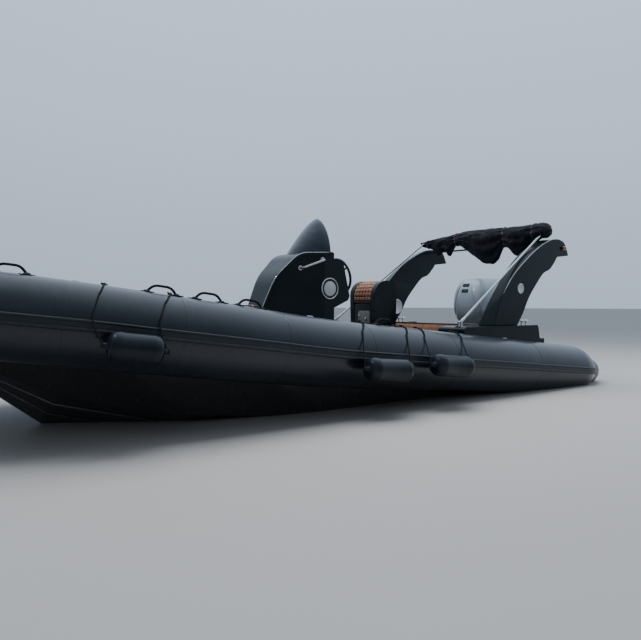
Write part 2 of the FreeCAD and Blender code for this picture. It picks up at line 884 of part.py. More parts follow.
def make_console():
    """Tapered console: sides recessed inside a rim, a sloping dash and a seat ahead of it."""
    floor = SOLE_Z + SOLE_PANEL
    outline = (
        (CONSOLE_AFT_X, floor, 0.0),
        (CONSOLE_FOOT_X, floor, 0.0),
        (CONSOLE_KNEE[0], CONSOLE_KNEE[1], 0.0),
        (CONSOLE_BROW[0], CONSOLE_BROW[1], CONSOLE_BROW_R),
        (CONSOLE_CROWN[0], CONSOLE_CROWN[1], CONSOLE_CROWN_R),
        (CONSOLE_AFT_X, CONSOLE_TOP_Z, CONSOLE_EDGE_R),
    )
    rim = CONSOLE_RIM
    panel = (
        (CONSOLE_AFT_X - rim, floor + rim, 0.0),
        (CONSOLE_FOOT_X - rim * 1.4, floor + rim, 0.0),
        (CONSOLE_KNEE[0] - rim * 1.2, CONSOLE_KNEE[1], 0.0),
        (CONSOLE_BROW[0] - rim, CONSOLE_BROW[1] - rim, CONSOLE_BROW_R - rim),
        (CONSOLE_CROWN[0] - rim * 0.5, CONSOLE_CROWN[1] - rim * 1.4, CONSOLE_CROWN_R - rim),
        (CONSOLE_AFT_X - rim, CONSOLE_TOP_Z - rim, 0.0),
    )
    core = console_sides(outline, CONSOLE_Y - CONSOLE_RECESS)
    edging = console_sides(outline, CONSOLE_Y)
    edging = edging.cut(side_prism(panel, -FAR, FAR))
    dash = side_prism(
        (
            (CONSOLE_AFT_X + DASH_IN, DASH_ROOT_Z, 0.0),
            (CONSOLE_AFT_X + DASH_IN, DASH_TOP[1], 0.0),
            (DASH_TOP[0], DASH_TOP[1], DASH_CORNER_R),
            (DASH_FOOT[0], DASH_FOOT[1], DASH_CORNER_R),
            (DASH_UNDER[0], DASH_UNDER[1], DASH_UNDER_R),
        ),
        -DASH_Y,
        DASH_Y,
    )
    front_seat = side_prism(
        (
            (FRONT_SEAT_AFT_X, floor, 0.0),
            (FRONT_SEAT_X, floor, 0.0),
            (FRONT_SEAT_X, FRONT_SEAT_Z, CONSOLE_EDGE_R),
            (FRONT_SEAT_AFT_X, FRONT_SEAT_Z, 0.0),
        ),
        -FRONT_SEAT_Y,
        FRONT_SEAT_Y,
    )
    seat = wheel_seat()
    normal = dash_normal()
    bore = rod(seat + normal * OVERRUN, seat - normal * (WHEEL_SHAFT_IN + OVERRUN),
               WHEEL_SHAFT_R + SHAFT_GAP)
    return fused([core, edging, dash, front_seat]).cut(bore)


def screen_ring(aft, front, half, z):
    """Corners of a level of the hood: straight sides and a rounded nose."""
    reach = (SCREEN_FRONT_X - SCREEN_AFT_X) * half / SCREEN_Y
    side = [V(aft, half, z)]
    for index in range(SCREEN_NOSE_STEPS + 1):
        angle = math.pi * (0.5 - index / SCREEN_NOSE_STEPS)
        side.append(V(front - reach + reach * math.cos(angle), half * math.sin(angle), z))
    return side + [V(aft, -half, z)]


def screen_block(inset, aft):
    """Hood that narrows in a rounded arch as it rises, cut off straight at its aft edge."""
    height = SCREEN_TOP_Z - SCREEN_FOOT_Z
    rings = []
    for share in SCREEN_LEVELS:
        half = max(SCREEN_Y * (1.0 - share ** SCREEN_BELLY) ** SCREEN_POINT - inset, SCREEN_TIP_Y)
        front = SCREEN_FRONT_X - inset - (SCREEN_FRONT_X - SCREEN_AFT_X) * share
        rings.append(screen_ring(0.0, front, half, SCREEN_FOOT_Z + (height - inset) * share))
    ahead = box(aft, FAR, -FAR, FAR, 0.0, FAR)
    return panelled(rings).common(ahead)


def make_windscreen(console):
    """Hood, open aft, with its foot cut to the console's top."""
    outer = screen_block(0.0, SCREEN_AFT_X)
    inner = screen_block(SCREEN_T, SCREEN_AFT_X - OVERRUN)
    seat = console.copy()
    seat.translate(V(0, 0, SEAT_GAP))
    return outer.cut([inner, seat])


def make_console_handle(console):
    """Grab bar that follows the narrowing side, on two round plates."""
    aft, front = [V(x, console_half(x, CONSOLE_Y) - CONSOLE_RECESS * 2.0, z)
                  for x, z in (HANDLE_AFT, HANDLE_FRONT)]
    out = V(0, CONSOLE_RECESS + HANDLE_STAND, 0)
    bends = [HANDLE_BEND, HANDLE_BEND]
    bent = bar(run_points([aft, aft + out, front + out, front], bends, BAR_MITRE), HANDLE_R)
    rise = V(0, CONSOLE_RECESS + HANDLE_PLATE_T, 0)
    plates = [bar([end, end + rise], HANDLE_PLATE_R) for end in (aft, front)]
    return fused([bent] + plates).cut(console)


def make_steering_wheel():
    seat = wheel_seat()
    normal = dash_normal()
    hub = seat + normal * WHEEL_STAND
    up = V(0, 1, 0).cross(normal).normalize()
    rim = []
    for index in range(WHEEL_RIM_STEPS + 1):
        angle = 2.0 * math.pi * (index + 0.5) / WHEEL_RIM_STEPS
        rim.append(hub + (up * math.sin(angle) + V(0, 1, 0) * math.cos(angle)) * WHEEL_R)
    half = len(rim) // 2
    parts = [bar(rim[:half + 1], WHEEL_RIM_R, ROPE_SIDES), bar(rim[half:], WHEEL_RIM_R, ROPE_SIDES)]
    parts.append(rod(hub - normal * WHEEL_HUB_BACK, hub + normal * WHEEL_HUB_FRONT, WHEEL_HUB_R))
    parts.append(rod(seat - normal * WHEEL_SHAFT_IN, hub, WHEEL_SHAFT_R))
    for index in range(WHEEL_SPOKES):
        angle = math.radians(90.0 + index * 360.0 / WHEEL_SPOKES)
        way = up * math.sin(angle) * -1 + V(0, 1, 0) * math.cos(angle)
        parts.append(bar([hub, hub + way * WHEEL_R], WHEEL_SPOKE_R, ROPE_SIDES))
    return fused(parts)


def make_throttle():
    low = DASH_TOP[1] + SEAT_GAP
    binnacle = box(THROTTLE_X - THROTTLE_L / 2.0, THROTTLE_X + THROTTLE_L / 2.0,
                   -THROTTLE_Y - THROTTLE_W / 2.0, -THROTTLE_Y + THROTTLE_W / 2.0,
                   low, low + THROTTLE_H)
    top_edges = [edge for edge in binnacle.Edges if edge.BoundBox.ZMin > low + OVERRUN]
    binnacle = binnacle.makeChamfer(THROTTLE_CHAMFER, top_edges)
    foot = V(THROTTLE_X - LEVER_IN, -THROTTLE_Y, low + THROTTLE_H - LEVER_IN)
    knee = foot + V(-LEVER_LEAN, 0, LEVER_H)
    grip = bar([knee - V(0, GRIP_L / 2.0, 0), knee + V(0, GRIP_L / 2.0, 0)], GRIP_R)
    return fused([binnacle, bar([foot, knee], LEVER_R), grip])


# Seats


def pod_outline(low):
    """Side outline of the pod: a high rounded front shoulder and a tighter aft one."""
    return (
        (POD_AFT_X + POD_TAPER, low, 0.0),
        (POD_FRONT_X - POD_TAPER, low, 0.0),
        (POD_FRONT_X, POD_CUSHION_Z, 0.0),
        (POD_FRONT_X, POD_TOP_Z, POD_FRONT_R),
        (POD_AFT_X, POD_TOP_Z, POD_AFT_R),
        (POD_AFT_X, POD_CUSHION_Z, 0.0),
    )


def make_pod():
    """Leaning pod: two cheeks joined by a core, and a cushion between the cheeks."""
    floor = SOLE_Z + SOLE_PANEL
    inner = POD_Y - POD_CHEEK
    cheeks = [side_prism(pod_outline(floor), sign * inner, sign * POD_Y) for sign in (1.0, -1.0)]
    core = box(POD_AFT_X + POD_CORE_INSET, POD_FRONT_X - POD_CORE_INSET, -inner, inner,
               floor, POD_CUSHION_Z)
    shell = fused(cheeks + [core])
    reach = inner - SEAT_GAP
    low = POD_CUSHION_Z + SEAT_GAP
    cushion = side_prism(
        (
            (POD_AFT_X + SEAT_GAP, low, 0.0),
            (POD_FRONT_X, low, 0.0),
            (POD_FRONT_X, POD_TOP_Z, POD_FRONT_R),
            (POD_AFT_X + SEAT_GAP, POD_TOP_Z, POD_AFT_R),
        ),
        -reach,
        reach,
    )
    return shell, cushion


def seat_hinge_point():
    return V(BENCH_FRONT_X + HINGE_R + HINGE_LIFT, 0.0, BENCH_TOP_Z - HINGE_R)


def make_bench():
    """Bench box, its lifting seat and its back; the seat's hinges are along the front."""
    floor = SOLE_Z + SOLE_PANEL
    front_wall = BENCH_FRONT_X - BENCH_WALL
    base = box(BENCH_AFT_X, BENCH_FRONT_X, -BENCH_Y, BENCH_Y, floor, BENCH_TOP_Z)
    bay = box(BENCH_AFT_X + BACKREST_T, front_wall, -BENCH_Y + BENCH_WALL, BENCH_Y - BENCH_WALL,
              floor + BENCH_WALL, FAR)
    base = base.cut(bay)
    low = BENCH_TOP_Z + SEAT_GAP
    seat_aft = BENCH_AFT_X + BACKREST_T + RUN_GAP
    seat = side_prism(
        (
            (seat_aft, low, CUSHION_FOOT_R),
            (BENCH_FRONT_X, low, CUSHION_FOOT_R),
            (BENCH_FRONT_X, low + SEAT_T, CUSHION_NOSE_R),
            (seat_aft, low + SEAT_T, CUSHION_FOOT_R),
        ),
        -BENCH_Y,
        BENCH_Y,
    )
    back = side_prism(
        (
            (BENCH_AFT_X, low, 0.0),
            (BENCH_AFT_X + BACKREST_T, low, 0.0),
            (BENCH_AFT_X + BACKREST_T - BACKREST_LEAN, BACKREST_TOP_Z, CUSHION_NOSE_R),
            (BENCH_AFT_X, BACKREST_TOP_Z, CUSHION_NOSE_R),
        ),
        -BENCH_Y,
        BENCH_Y,
    )
    at = seat_hinge_point()
    for sign in (1.0, -1.0):
        y = sign * BENCH_HINGE_Y
        half = HINGE_L / 2.0
        moving, fixed = butt_hinge(at.x, y, at.z)
        leaf = box(BENCH_FRONT_X + SEAT_GAP, BENCH_FRONT_X + SEAT_GAP + HINGE_LEAF_T, y - half, y + half,
                   at.z + HINGE_PIN_R, BENCH_TOP_Z + SEAT_T / 2.0)
        pad = box(BENCH_FRONT_X - HINGE_LEAF_T, BENCH_FRONT_X + HINGE_LEAF_T, y - half, y + half,
                  low + HINGE_R * 1.5, BENCH_TOP_Z + SEAT_T / 2.0)
        seat = fused([seat, leaf, pad, moving])
        foot = box(BENCH_FRONT_X - HINGE_LEAF_T, at.x, y - half - PIN_GAP - HINGE_END_L,
                   y + half + PIN_GAP + HINGE_END_L, at.z - HINGE_R * 2.0, at.z - HINGE_R - HINGE_LIFT)
        base = fused([base, foot])
        for way in (1.0, -1.0):
            near = y + way * (half + PIN_GAP)
            far = near + way * HINGE_END_L
            base = fused([base, box(BENCH_FRONT_X - HINGE_LEAF_T, at.x, min(near, far), max(near, far),
                                    at.z - HINGE_R * 2.0, at.z)])
        base = fused([base, fixed])
    return base, seat, back


# Arch


def make_arch_base(seats, hull, transom):
    base = side_prism(
        (
            (BASE_AFT_X + TRANSOM_T, BASE_FOOT_Z, 0.0),
            (BASE_FRONT_X, BASE_FOOT_Z, 0.0),
            (BASE_FRONT_X, BASE_TOP_Z, BASE_CORNER_R),
            (BASE_STEP_X, BASE_TOP_Z, BASE_CORNER_R),
            (BASE_STEP_X - BASE_LEAN, BASE_STEP_Z, BASE_STEP_R),
            (BASE_AFT_X + TRANSOM_T + BASE_LEAN, BASE_STEP_Z, BASE_STEP_R),
        ),
        BASE_IN_Y,
        BASE_OUT_Y,
    )
    return base.cut(seats + [hull, transom])


def make_arch_leg():
    """Leg whose front face turns outward: its inner outline reaches ahead of the outer one."""
    rear = [V(x, 0, z) for x, z in LEG_REAR]
    inner = [V(x, 0, z) for x, _, z in LEG_FRONT] + rear
    outer = [V(x, 0, z) for _, x, z in LEG_FRONT] + rear
    leg = panelled([[point + V(0, y, 0) for point in outline]
                    for outline, y in ((inner, LEG_IN_Y), (outer, LEG_OUT_Y))])
    disc_at = V(LEG_DISC_AT[0], LEG_OUT_Y - SEAT_GAP, LEG_DISC_AT[1])
    disc = rod(disc_at, disc_at + V(0, LEG_DISC_T, 0), LEG_DISC_R)
    return fused([leg, disc])


def make_crossbar():
    reach = LEG_IN_Y - SEAT_GAP
    return bar([V(CROSSBAR_X, -reach, CROSSBAR_Z), V(CROSSBAR_X, reach, CROSSBAR_Z)], CROSSBAR_R)


def make_side_light():
    y = LEG_OUT_Y + SEAT_GAP
    lens = box(LIGHT_X - LIGHT_L / 2.0, LIGHT_X + LIGHT_L / 2.0, y, y + LIGHT_T,
               LIGHT_Z - LIGHT_H / 2.0, LIGHT_Z + LIGHT_H / 2.0)
    return lens.makeChamfer(LIGHT_CHAMFER, [edge for edge in lens.Edges if edge.BoundBox.YMin > y + 1.0])


# Folding canopy bow


def bow_points():
    foot = V(BOW_FOOT_X, BOW_FOOT_Y, BOW_FOOT_Z)
    top = V(BOW_TOP_X, BOW_TOP_Y, BOW_TOP_Z)
    return [foot, top, V(top.x, -top.y, top.z), V(foot.x, -foot.y, foot.z)]


def make_bow():
    """Bent tube with a flattened eye on each hinge pin."""
    points = bow_points()
    tube = bar(run_points(points, [BOW_BEND, BOW_BEND], BAR_MITRE), BOW_R)
    eyes = []
    bores = []
    for sign in (1.0, -1.0):
        centre = V(BOW_FOOT_X, sign * BOW_FOOT_Y, BOW_FOOT_Z)
        reach = V(0.0, BOW_R, 0.0)
        eyes.append(rod(centre - reach, centre + reach, BOW_EYE_R))
        bores.append(rod(centre - reach * 2.0, centre + reach * 2.0, FOOT_PIN_R + PIN_GAP))
    return fused([tube] + eyes).cut(bores)


def make_bow_feet():
    """Deck hinges for the bow: a plate, two ears and a pin on each side."""
    solids = []
    for sign in (1.0, -1.0):
        y = sign * BOW_FOOT_Y
        low = BASE_TOP_Z
        half = FOOT_PLATE_L / 2.0
        plate = box(BOW_FOOT_X - half, BOW_FOOT_X + half, y - half, y + half, low, low + FOOT_PLATE_T)
        pieces = [plate]
        for side in (1.0, -1.0):
            inner = BOW_R + FOOT_EAR_GAP
            at = y + side * (inner + FOOT_EAR_T / 2.0)
            ear = box(BOW_FOOT_X - FOOT_EAR_L / 2.0, BOW_FOOT_X + FOOT_EAR_L / 2.0,
                      at - FOOT_EAR_T / 2.0, at + FOOT_EAR_T / 2.0, low, BOW_FOOT_Z + FOOT_EAR_L / 2.0)
            pieces.append(ear)
        reach = BOW_R + FOOT_EAR_GAP + FOOT_EAR_T
        pieces.append(rod(V(BOW_FOOT_X, y - reach, BOW_FOOT_Z), V(BOW_FOOT_X, y + reach, BOW_FOOT_Z),
                          FOOT_PIN_R))
        solids.append(fused(pieces))
    return Part.makeCompound(solids)


def make_bundle():
    """Rolled canopy round the bow's top tube, tied up between hanging swags."""
    rings = []
    for share, reach, drop in BUNDLE_ROWS:
        ring = []
        for index in range(BUNDLE_SIDES):
            angle = 2.0 * math.pi * (index + 0.5) / BUNDLE_SIDES
            ring.append(V(BOW_TOP_X + reach * BUNDLE_SQUEEZE * math.sin(angle), share * BUNDLE_Y,
                          BOW_TOP_Z - drop + reach * math.cos(angle)))
        rings.append(ring)
    sleeve = bar(run_points(bow_points(), [BOW_BEND, BOW_BEND], BAR_MITRE), BOW_R + SEAT_GAP)
    return panelled(rings).cut(sleeve)


# Outboard


def make_clamp():
    """Two side plates on the transom, joined by the tilt pin."""
    pieces = []
    for sign in (1.0, -1.0):
        y0 = sign * CLAMP_IN_Y
        y1 = sign * (CLAMP_IN_Y + CLAMP_T)
        plate = side_prism(
            (
                (0.0, CLAMP_FOOT_Z, 0.0),
                (0.0, TILT_Z - CLAMP_NECK, 0.0),
                (TILT_X + CLAMP_HEAD, TILT_Z + CLAMP_HEAD, CLAMP_HEAD_R),
                (TILT_X - CLAMP_HEAD, TILT_Z + CLAMP_HEAD, CLAMP_HEAD_R),
                (TILT_X - CLAMP_HEAD, TILT_Z - CLAMP_NECK, CLAMP_NECK),
                (-CLAMP_FOOT_T, CLAMP_FOOT_Z, CLAMP_HEAD_R),
            ),
            y0,
            y1,
        )
        pieces.append(plate)
    reach = CLAMP_IN_Y + CLAMP_T
    pieces.append(rod(V(TILT_X, -reach, TILT_Z), V(TILT_X, reach, TILT_Z), TILT_PIN_R))
    return fused(pieces)


def make_swivel():
    """Bracket that tilts on the pin and holds the steering tube."""
    inner = CLAMP_IN_Y - SWIVEL_SIDE_GAP
    barrel = rod(V(TILT_X, -inner, TILT_Z), V(TILT_X, inner, TILT_Z), TILT_PIN_R + BARREL_WALL)
    tube = rod(V(SWIVEL_X, 0, SWIVEL_FOOT_Z), V(SWIVEL_X, 0, SWIVEL_TOP_Z), SWIVEL_R)
    web = side_prism(
        (
            (TILT_X, TILT_Z - WEB_ROOT, 0.0),
            (TILT_X, TILT_Z + WEB_ROOT, 0.0),
            (SWIVEL_X, SWIVEL_TOP_Z - OVERRUN, 0.0),
            (SWIVEL_X, SWIVEL_FOOT_Z + WEB_RISE, 0.0),
        ),
        -WEB_Y,
        WEB_Y,
    )
    body = fused([barrel, tube, web])
    cross_bore = rod(V(TILT_X, -inner - OVERRUN, TILT_Z), V(TILT_X, inner + OVERRUN, TILT_Z),
                     TILT_PIN_R + SEAT_GAP)
    pin_bore = rod(V(SWIVEL_X, 0, SWIVEL_FOOT_Z - OVERRUN), V(SWIVEL_X, 0, SWIVEL_TOP_Z + OVERRUN),
                   SWIVEL_PIN_R + SEAT_GAP)
    return body.cut([cross_bore, pin_bore])


def plan_ring(aft, front, half, radius, z):
    """Corners of a rounded rectangle seen from above, with a few flats at each corner."""
    ring = []
    middles = ((front - radius, half - radius, 0.0), (aft + radius, half - radius, 90.0),
               (aft + radius, radius - half, 180.0), (front - radius, radius - half, 270.0))
    for x, y, first in middles:
        for step in range(COWL_CORNER):
            angle = math.radians(first + 90.0 * step / (COWL_CORNER - 1.0))
            ring.append(V(x + radius * math.cos(angle), y + radius * math.sin(angle), z))
    return ring


def make_cowl():
    """Cowl of flat panels between rounded levels, with two air slots each side of its front."""
    shell = panelled([plan_ring(row[COWL_AFT], row[COWL_FRONT], row[COWL_HALF], row[COWL_ROUND],
                                row[COWL_AT_Z]) for row in COWL_SECTIONS])
    slots = []
    for sign in (1.0, -1.0):
        for z in COWL_SLOT_Z:
            slot = box(-FAR, FAR, COWL_SLOT_Y, COWL_SLOT_Y + COWL_SLOT_W, z, z + COWL_SLOT_H)
            slot = slot.cut(panelled([plan_ring(row[COWL_AFT], row[COWL_FRONT] - COWL_SLOT_DEEP,
                                                row[COWL_HALF], row[COWL_ROUND], row[COWL_AT_Z])
                                      for row in COWL_SECTIONS]))
            slot = slot.common(box(0.0, FAR, -FAR, FAR, 0.0, FAR))
            slots.append(slot if sign > 0.0 else mirrored(slot))
    return shell.cut(slots)


def gearcase():
    """Torpedo round the propeller shaft: a tapered body and a rounded nose."""
    tail = V(GEARCASE_TAIL_X, 0, SHAFT_Z)
    nose = GEARCASE_NOSE_X - GEARCASE_NOSE_L - GEARCASE_TAIL_X
    rim = [(0.0, PROP_HUB_R), (nose, GEARCASE_R)]
    for reach in GEARCASE_NOSE_STEPS:
        rim.append((nose + GEARCASE_NOSE_L * reach, GEARCASE_R * math.sqrt(1.0 - reach * reach)))
    return turned(tail, V(1, 0, 0), rim, GEARCASE_SIDES)


def make_engine_leg():
    """Leg from the cowl to the gearcase, with steering yokes, plate and skeg."""
    column = panelled([plan_ring(*row) for row in COLUMN_SECTIONS])
    upper_z = SWIVEL_TOP_Z + FACE_GAP
    lower_z = SWIVEL_FOOT_Z - FACE_GAP
    front = SWIVEL_X + YOKE_REACH
    upper = plan_prism(
        (
            (YOKE_ROOT_X, -YOKE_ROOT_Y, 0.0),
            (front, -YOKE_REACH, YOKE_R),
            (front, YOKE_REACH, YOKE_R),
            (YOKE_ROOT_X, YOKE_ROOT_Y, 0.0),
        ),
        upper_z,
        upper_z + YOKE_T,
    )
    lower = plan_prism(
        (
            (YOKE_ROOT_X, -YOKE_R, 0.0),
            (front, -YOKE_R, YOKE_R - OVERRUN),
            (front, YOKE_R, YOKE_R - OVERRUN),
            (YOKE_ROOT_X, YOKE_R, 0.0),
        ),
        lower_z - YOKE_T,
        lower_z,
    )
    pin = rod(V(SWIVEL_X, 0, lower_z - YOKE_T / 2.0), V(SWIVEL_X, 0, upper_z + YOKE_T / 2.0),
              SWIVEL_PIN_R)
    plate = plan_prism(
        (
            (PLATE_AFT_X, -PLATE_Y, PLATE_R),
            (PLATE_SIDE_X, -PLATE_Y, PLATE_R),
            (PLATE_NOSE_X, 0.0, PLATE_R / 2.0),
            (PLATE_SIDE_X, PLATE_Y, PLATE_R),
            (PLATE_AFT_X, PLATE_Y, PLATE_R),
        ),
        PLATE_Z - PLATE_T,
        PLATE_Z,
    )
    strut = side_prism(
        (
            (STRUT_AFT_X, PLATE_Z, 0.0),
            (COLUMN_FRONT_X, PLATE_Z, 0.0),
            (COLUMN_FRONT_X, SHAFT_Z, 0.0),
            (SKEG_FRONT_X, SKEG_Z, SKEG_R),
            (SKEG_AFT_X, SKEG_Z, SKEG_R),
            (STRUT_AFT_X, SHAFT_Z, 0.0),
        ),
        -STRUT_Y,
        STRUT_Y,
    )
    case = gearcase()
    shaft = rod(V(GEARCASE_TAIL_X, 0, SHAFT_Z), V(GEARCASE_TAIL_X - PROP_L, 0, SHAFT_Z), SHAFT_R)
    return fused([column, upper, lower, pin, plate, strut, case, shaft])


def make_propeller():
    """Hub on the shaft, with blades set at the screw's pitch."""
    front = GEARCASE_TAIL_X - FACE_GAP
    hub = rod(V(front, 0, SHAFT_Z), V(front - PROP_L, 0, SHAFT_Z), PROP_HUB_R)
    middle = front - PROP_L / 2.0
    outline = (
        (-BLADE_ROOT, PROP_HUB_R - BLADE_T, 0.0),
        (BLADE_ROOT, PROP_HUB_R - BLADE_T, 0.0),
        (BLADE_REACH, PROP_R * 0.52, 0.0),
        (BLADE_REACH, PROP_R * 0.74, 0.0),
        (BLADE_REACH * 0.6, PROP_R * 0.94, 0.0),
        (0.0, PROP_R, 0.0),
        (-BLADE_REACH * 0.6, PROP_R * 0.94, 0.0),
        (-BLADE_REACH * 0.9, PROP_R * 0.74, 0.0),
        (-BLADE_REACH * 0.8, PROP_R * 0.52, 0.0),
    )
    blades = []
    for index in range(PROP_BLADES):
        blade = side_prism(outline, -BLADE_T / 2.0, BLADE_T / 2.0)
        blade.rotate(V(0, 0, 0), V(0, 0, 1), 90.0 - PROP_PITCH)
        blade.translate(V(middle, 0, SHAFT_Z))
        blade.rotate(V(middle, 0, SHAFT_Z), V(1, 0, 0), index * 360.0 / PROP_BLADES)
        blades.append(blade)
    screw = fused([hub] + blades)
    return screw.cut(rod(V(front + OVERRUN, 0, SHAFT_Z), V(front - PROP_L - OVERRUN, 0, SHAFT_Z),
                         SHAFT_R + SEAT_GAP))


# Fenders and fittings


def collar_frame(x):
    """Axis point, forward, outward and upward directions of the port tube."""
    points = collar_points()
    for start, end in zip(points, points[1:]):
        if x <= end.x:
            break
    along = (end - start).normalize()
    centre = start + along * ((x - start.x) / along.x)
    out = V(0, 0, 1).cross(along).normalize()
    return centre, along, out, along.cross(out)


def fender_out(drop):
    """How far out a fender's axis is, where it rests on the strake's lower bead."""
    below = max(0.0, drop - STRAKE_H / 2.0 + STRAKE_LIFT)
    return TUBE_R + STRAKE_T + FENDER_GAP + math.sqrt(FENDER_R ** 2 - below ** 2)


def make_fender(x, length, drop):
    """Air fender with blunt ends and a rope eye on each, lying against the strake."""
    centre, along, out, up = collar_frame(x)
    middle = centre + out * fender_out(drop) - up * drop
    half = length / 2.0
    body = half - FENDER_EYE_L
    rim = [(-half, FENDER_EYE_R), (-body, FENDER_EYE_R), (-body + FENDER_R * 0.1, FENDER_R * 0.68),
           (-body + FENDER_R * 0.42, FENDER_R)]
    rim += [(-reach, radius) for reach, radius in rim[::-1]]
    return turned(middle, along, rim, FENDER_SIDES)


def make_fender_lines(x, length, drop, touched):
    """Pair of tight lines from the top of the tube, round its side and strake, to a fender."""
    centre, along, out, up = collar_frame(x)
    reach = TUBE_R + LINE_R + LINE_GAP
    away = fender_out(drop)
    lean = math.atan2(-drop, away) + math.acos(reach / math.hypot(away, drop))
    step = (math.pi / 2.0 - lean) / LINE_RUNS
    eye_at = (length - FENDER_EYE_L) / 2.0
    lines = []
    for sign in (1.0, -1.0):
        root = centre + along * sign * eye_at
        points = [root + up * reach]
        for index in range(LINE_RUNS):
            angle = math.pi / 2.0 - step * (index + 0.5)
            spoke = out * math.cos(angle) + up * math.sin(angle)
            points.append(root + spoke * (reach / math.cos(step / 2.0)))
        points.append(root + out * away - up * drop)
        lines.append(bar(points, LINE_R, ROPE_SIDES).cut(touched))
    return lines


def make_cleat(x, y, z):
    """Horned cleat: two posts and a bar."""
    top = z + CLEAT_H
    pieces = [bar([V(x - CLEAT_L / 2.0, y, top), V(x + CLEAT_L / 2.0, y, top)], CLEAT_R)]
    for sign in (1.0, -1.0):
        foot = V(x + sign * CLEAT_POST_X, y, z)
        pieces.append(bar([foot, foot + V(0, 0, CLEAT_H)], CLEAT_R))
    return fused(pieces)


def make_loop(x, seats):
    """Grab loop standing on the top of the tube."""
    centre, along, out, up = collar_frame(x)
    crown = centre + up * (TUBE_R - LOOP_R)
    half = along * (LOOP_L / 2.0)
    rise = up * (LOOP_H + LOOP_R)
    top = along * (LOOP_TOP_L / 2.0)
    points = [crown - half, crown - top + rise, crown + top + rise, crown + half]
    return bar(points, LOOP_R, ROPE_SIDES).cut(seats)


def build():
    nodes = {}
    nodes.update(make_collar())
    nodes.update(make_strakes())
    seats = collar_cutter()
    hull = make_hull(seats)
    nodes["hull"] = hull
    nodes["deck_sole"] = make_sole(seats)
    nodes["transom"] = make_transom(seats, hull)
    nodes["locker_lid"] = make_locker_lid()
    nodes["bow_eye"] = make_bow_eye(hull)
    nodes["console"] = make_console()
    nodes["windscreen"] = make_windscreen(nodes["console"])
    nodes["console_handle"] = make_console_handle(nodes["console"])
    nodes["steering_wheel"] = make_steering_wheel()
    nodes["throttle"] = make_throttle()
    nodes["pod_shell"], nodes["pod_cushion"] = make_pod()
    nodes["bench_base"], nodes["bench_seat"], nodes["bench_backrest"] = make_bench()
    base = make_arch_base(seats, hull, nodes["transom"])
    leg = make_arch_leg()
    light = make_side_light()
    for name, shape in (("arch_base", base), ("arch_leg", leg), ("side_light", light)):
        nodes[name + "_port"] = shape
        nodes[name + "_starboard"] = mirrored(shape)
    nodes["arch_crossbar"] = make_crossbar()
    nodes["canopy_bow"] = make_bow()
    nodes["canopy_bow_feet"] = make_bow_feet()
    nodes["canopy_bundle"] = make_bundle()
    nodes["clamp_bracket"] = make_clamp()
    nodes["swivel_bracket"] = make_swivel()
    nodes["engine_cowl"] = make_cowl()
    nodes["engine_leg"] = make_engine_leg()
    nodes["propeller"] = make_propeller()
    fenders = [make_fender(*row) for row in FENDERS]
    nodes["fenders"] = Part.makeCompound(fenders)
    lines = []
    strakes = [nodes["strake_port"], nodes["strake_nose"]]
    for row, fender in zip(FENDERS, fenders):
        lines.extend(make_fender_lines(*row, [fender] + strakes))
    nodes["fender_lines"] = Part.makeCompound(lines)
    cleat = make_cleat(CLEAT_X, CLEAT_Y, BASE_TOP_Z)
    nodes["cleats"] = Part.makeCompound([cleat, mirrored(cleat)])
    loops = [make_loop(x, seats) for x in LOOP_X]
    nodes["grab_loops"] = Part.makeCompound(loops + [mirrored(loop) for loop in loops])
    return nodes


def main():
    os.makedirs("parts", exist_ok=True)
    for name, shape in build().items():
        shape.exportStep("parts/" + name + ".step")
        size = shape.BoundBox
        print("%-26s %7.3f l  X %6.0f %6.0f  Y %6.0f %6.0f  Z %6.0f %6.0f  %s %d" % (
            name, shape.Volume / 1e6, size.XMin, size.XMax, size.YMin, size.YMax,
            size.ZMin, size.ZMax, shape.isValid(), len(shape.Solids)))


main()
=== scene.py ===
# %% [markdown]
# # A rigid inflatable boat, dressed over its frame
# The boat is a deep hull with an air-filled collar round it, a console with a
# tinted hood, a leaning pod, a stern bench, and a raked arch that carries a
# rolled canopy. The frame gives every solid piece at its real size and place.
# This lesson gives those pieces their finishes, and makes what is soft or fine:
# cushions, cloth, ropes, seams and small fittings.

# %% Load the frame
import json
import math

import bmesh
import bpy
from mathutils import Matrix, Vector, noise


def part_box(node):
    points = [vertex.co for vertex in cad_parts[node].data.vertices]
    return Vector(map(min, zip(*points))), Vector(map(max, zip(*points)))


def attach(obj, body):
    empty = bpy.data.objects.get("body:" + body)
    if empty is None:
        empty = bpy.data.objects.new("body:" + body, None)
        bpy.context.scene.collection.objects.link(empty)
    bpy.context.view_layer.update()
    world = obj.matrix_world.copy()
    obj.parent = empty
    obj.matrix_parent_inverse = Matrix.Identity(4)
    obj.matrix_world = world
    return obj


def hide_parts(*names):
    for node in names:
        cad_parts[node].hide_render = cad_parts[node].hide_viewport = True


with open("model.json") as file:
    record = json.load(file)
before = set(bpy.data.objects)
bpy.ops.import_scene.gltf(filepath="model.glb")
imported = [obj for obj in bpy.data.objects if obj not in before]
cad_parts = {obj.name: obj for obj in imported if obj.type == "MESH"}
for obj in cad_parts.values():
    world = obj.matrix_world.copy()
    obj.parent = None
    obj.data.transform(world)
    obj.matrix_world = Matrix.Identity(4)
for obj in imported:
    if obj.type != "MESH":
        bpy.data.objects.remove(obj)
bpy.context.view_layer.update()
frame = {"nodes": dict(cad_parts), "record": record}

SIDES = {1.0: "port", -1.0: "starboard"}
SLOT_OF = {part["node"]: part["material_slot"] for part in frame["record"]["subparts"]}

# %% [markdown]
# ## Sums on sockets
# A finish is a small network of nodes. Writing it as arithmetic keeps it short:
# one class wraps a node's output, so that adding or multiplying two of them adds
# a Math node. Everything else comes from one method that makes any node, sets
# it up and feeds its sockets.


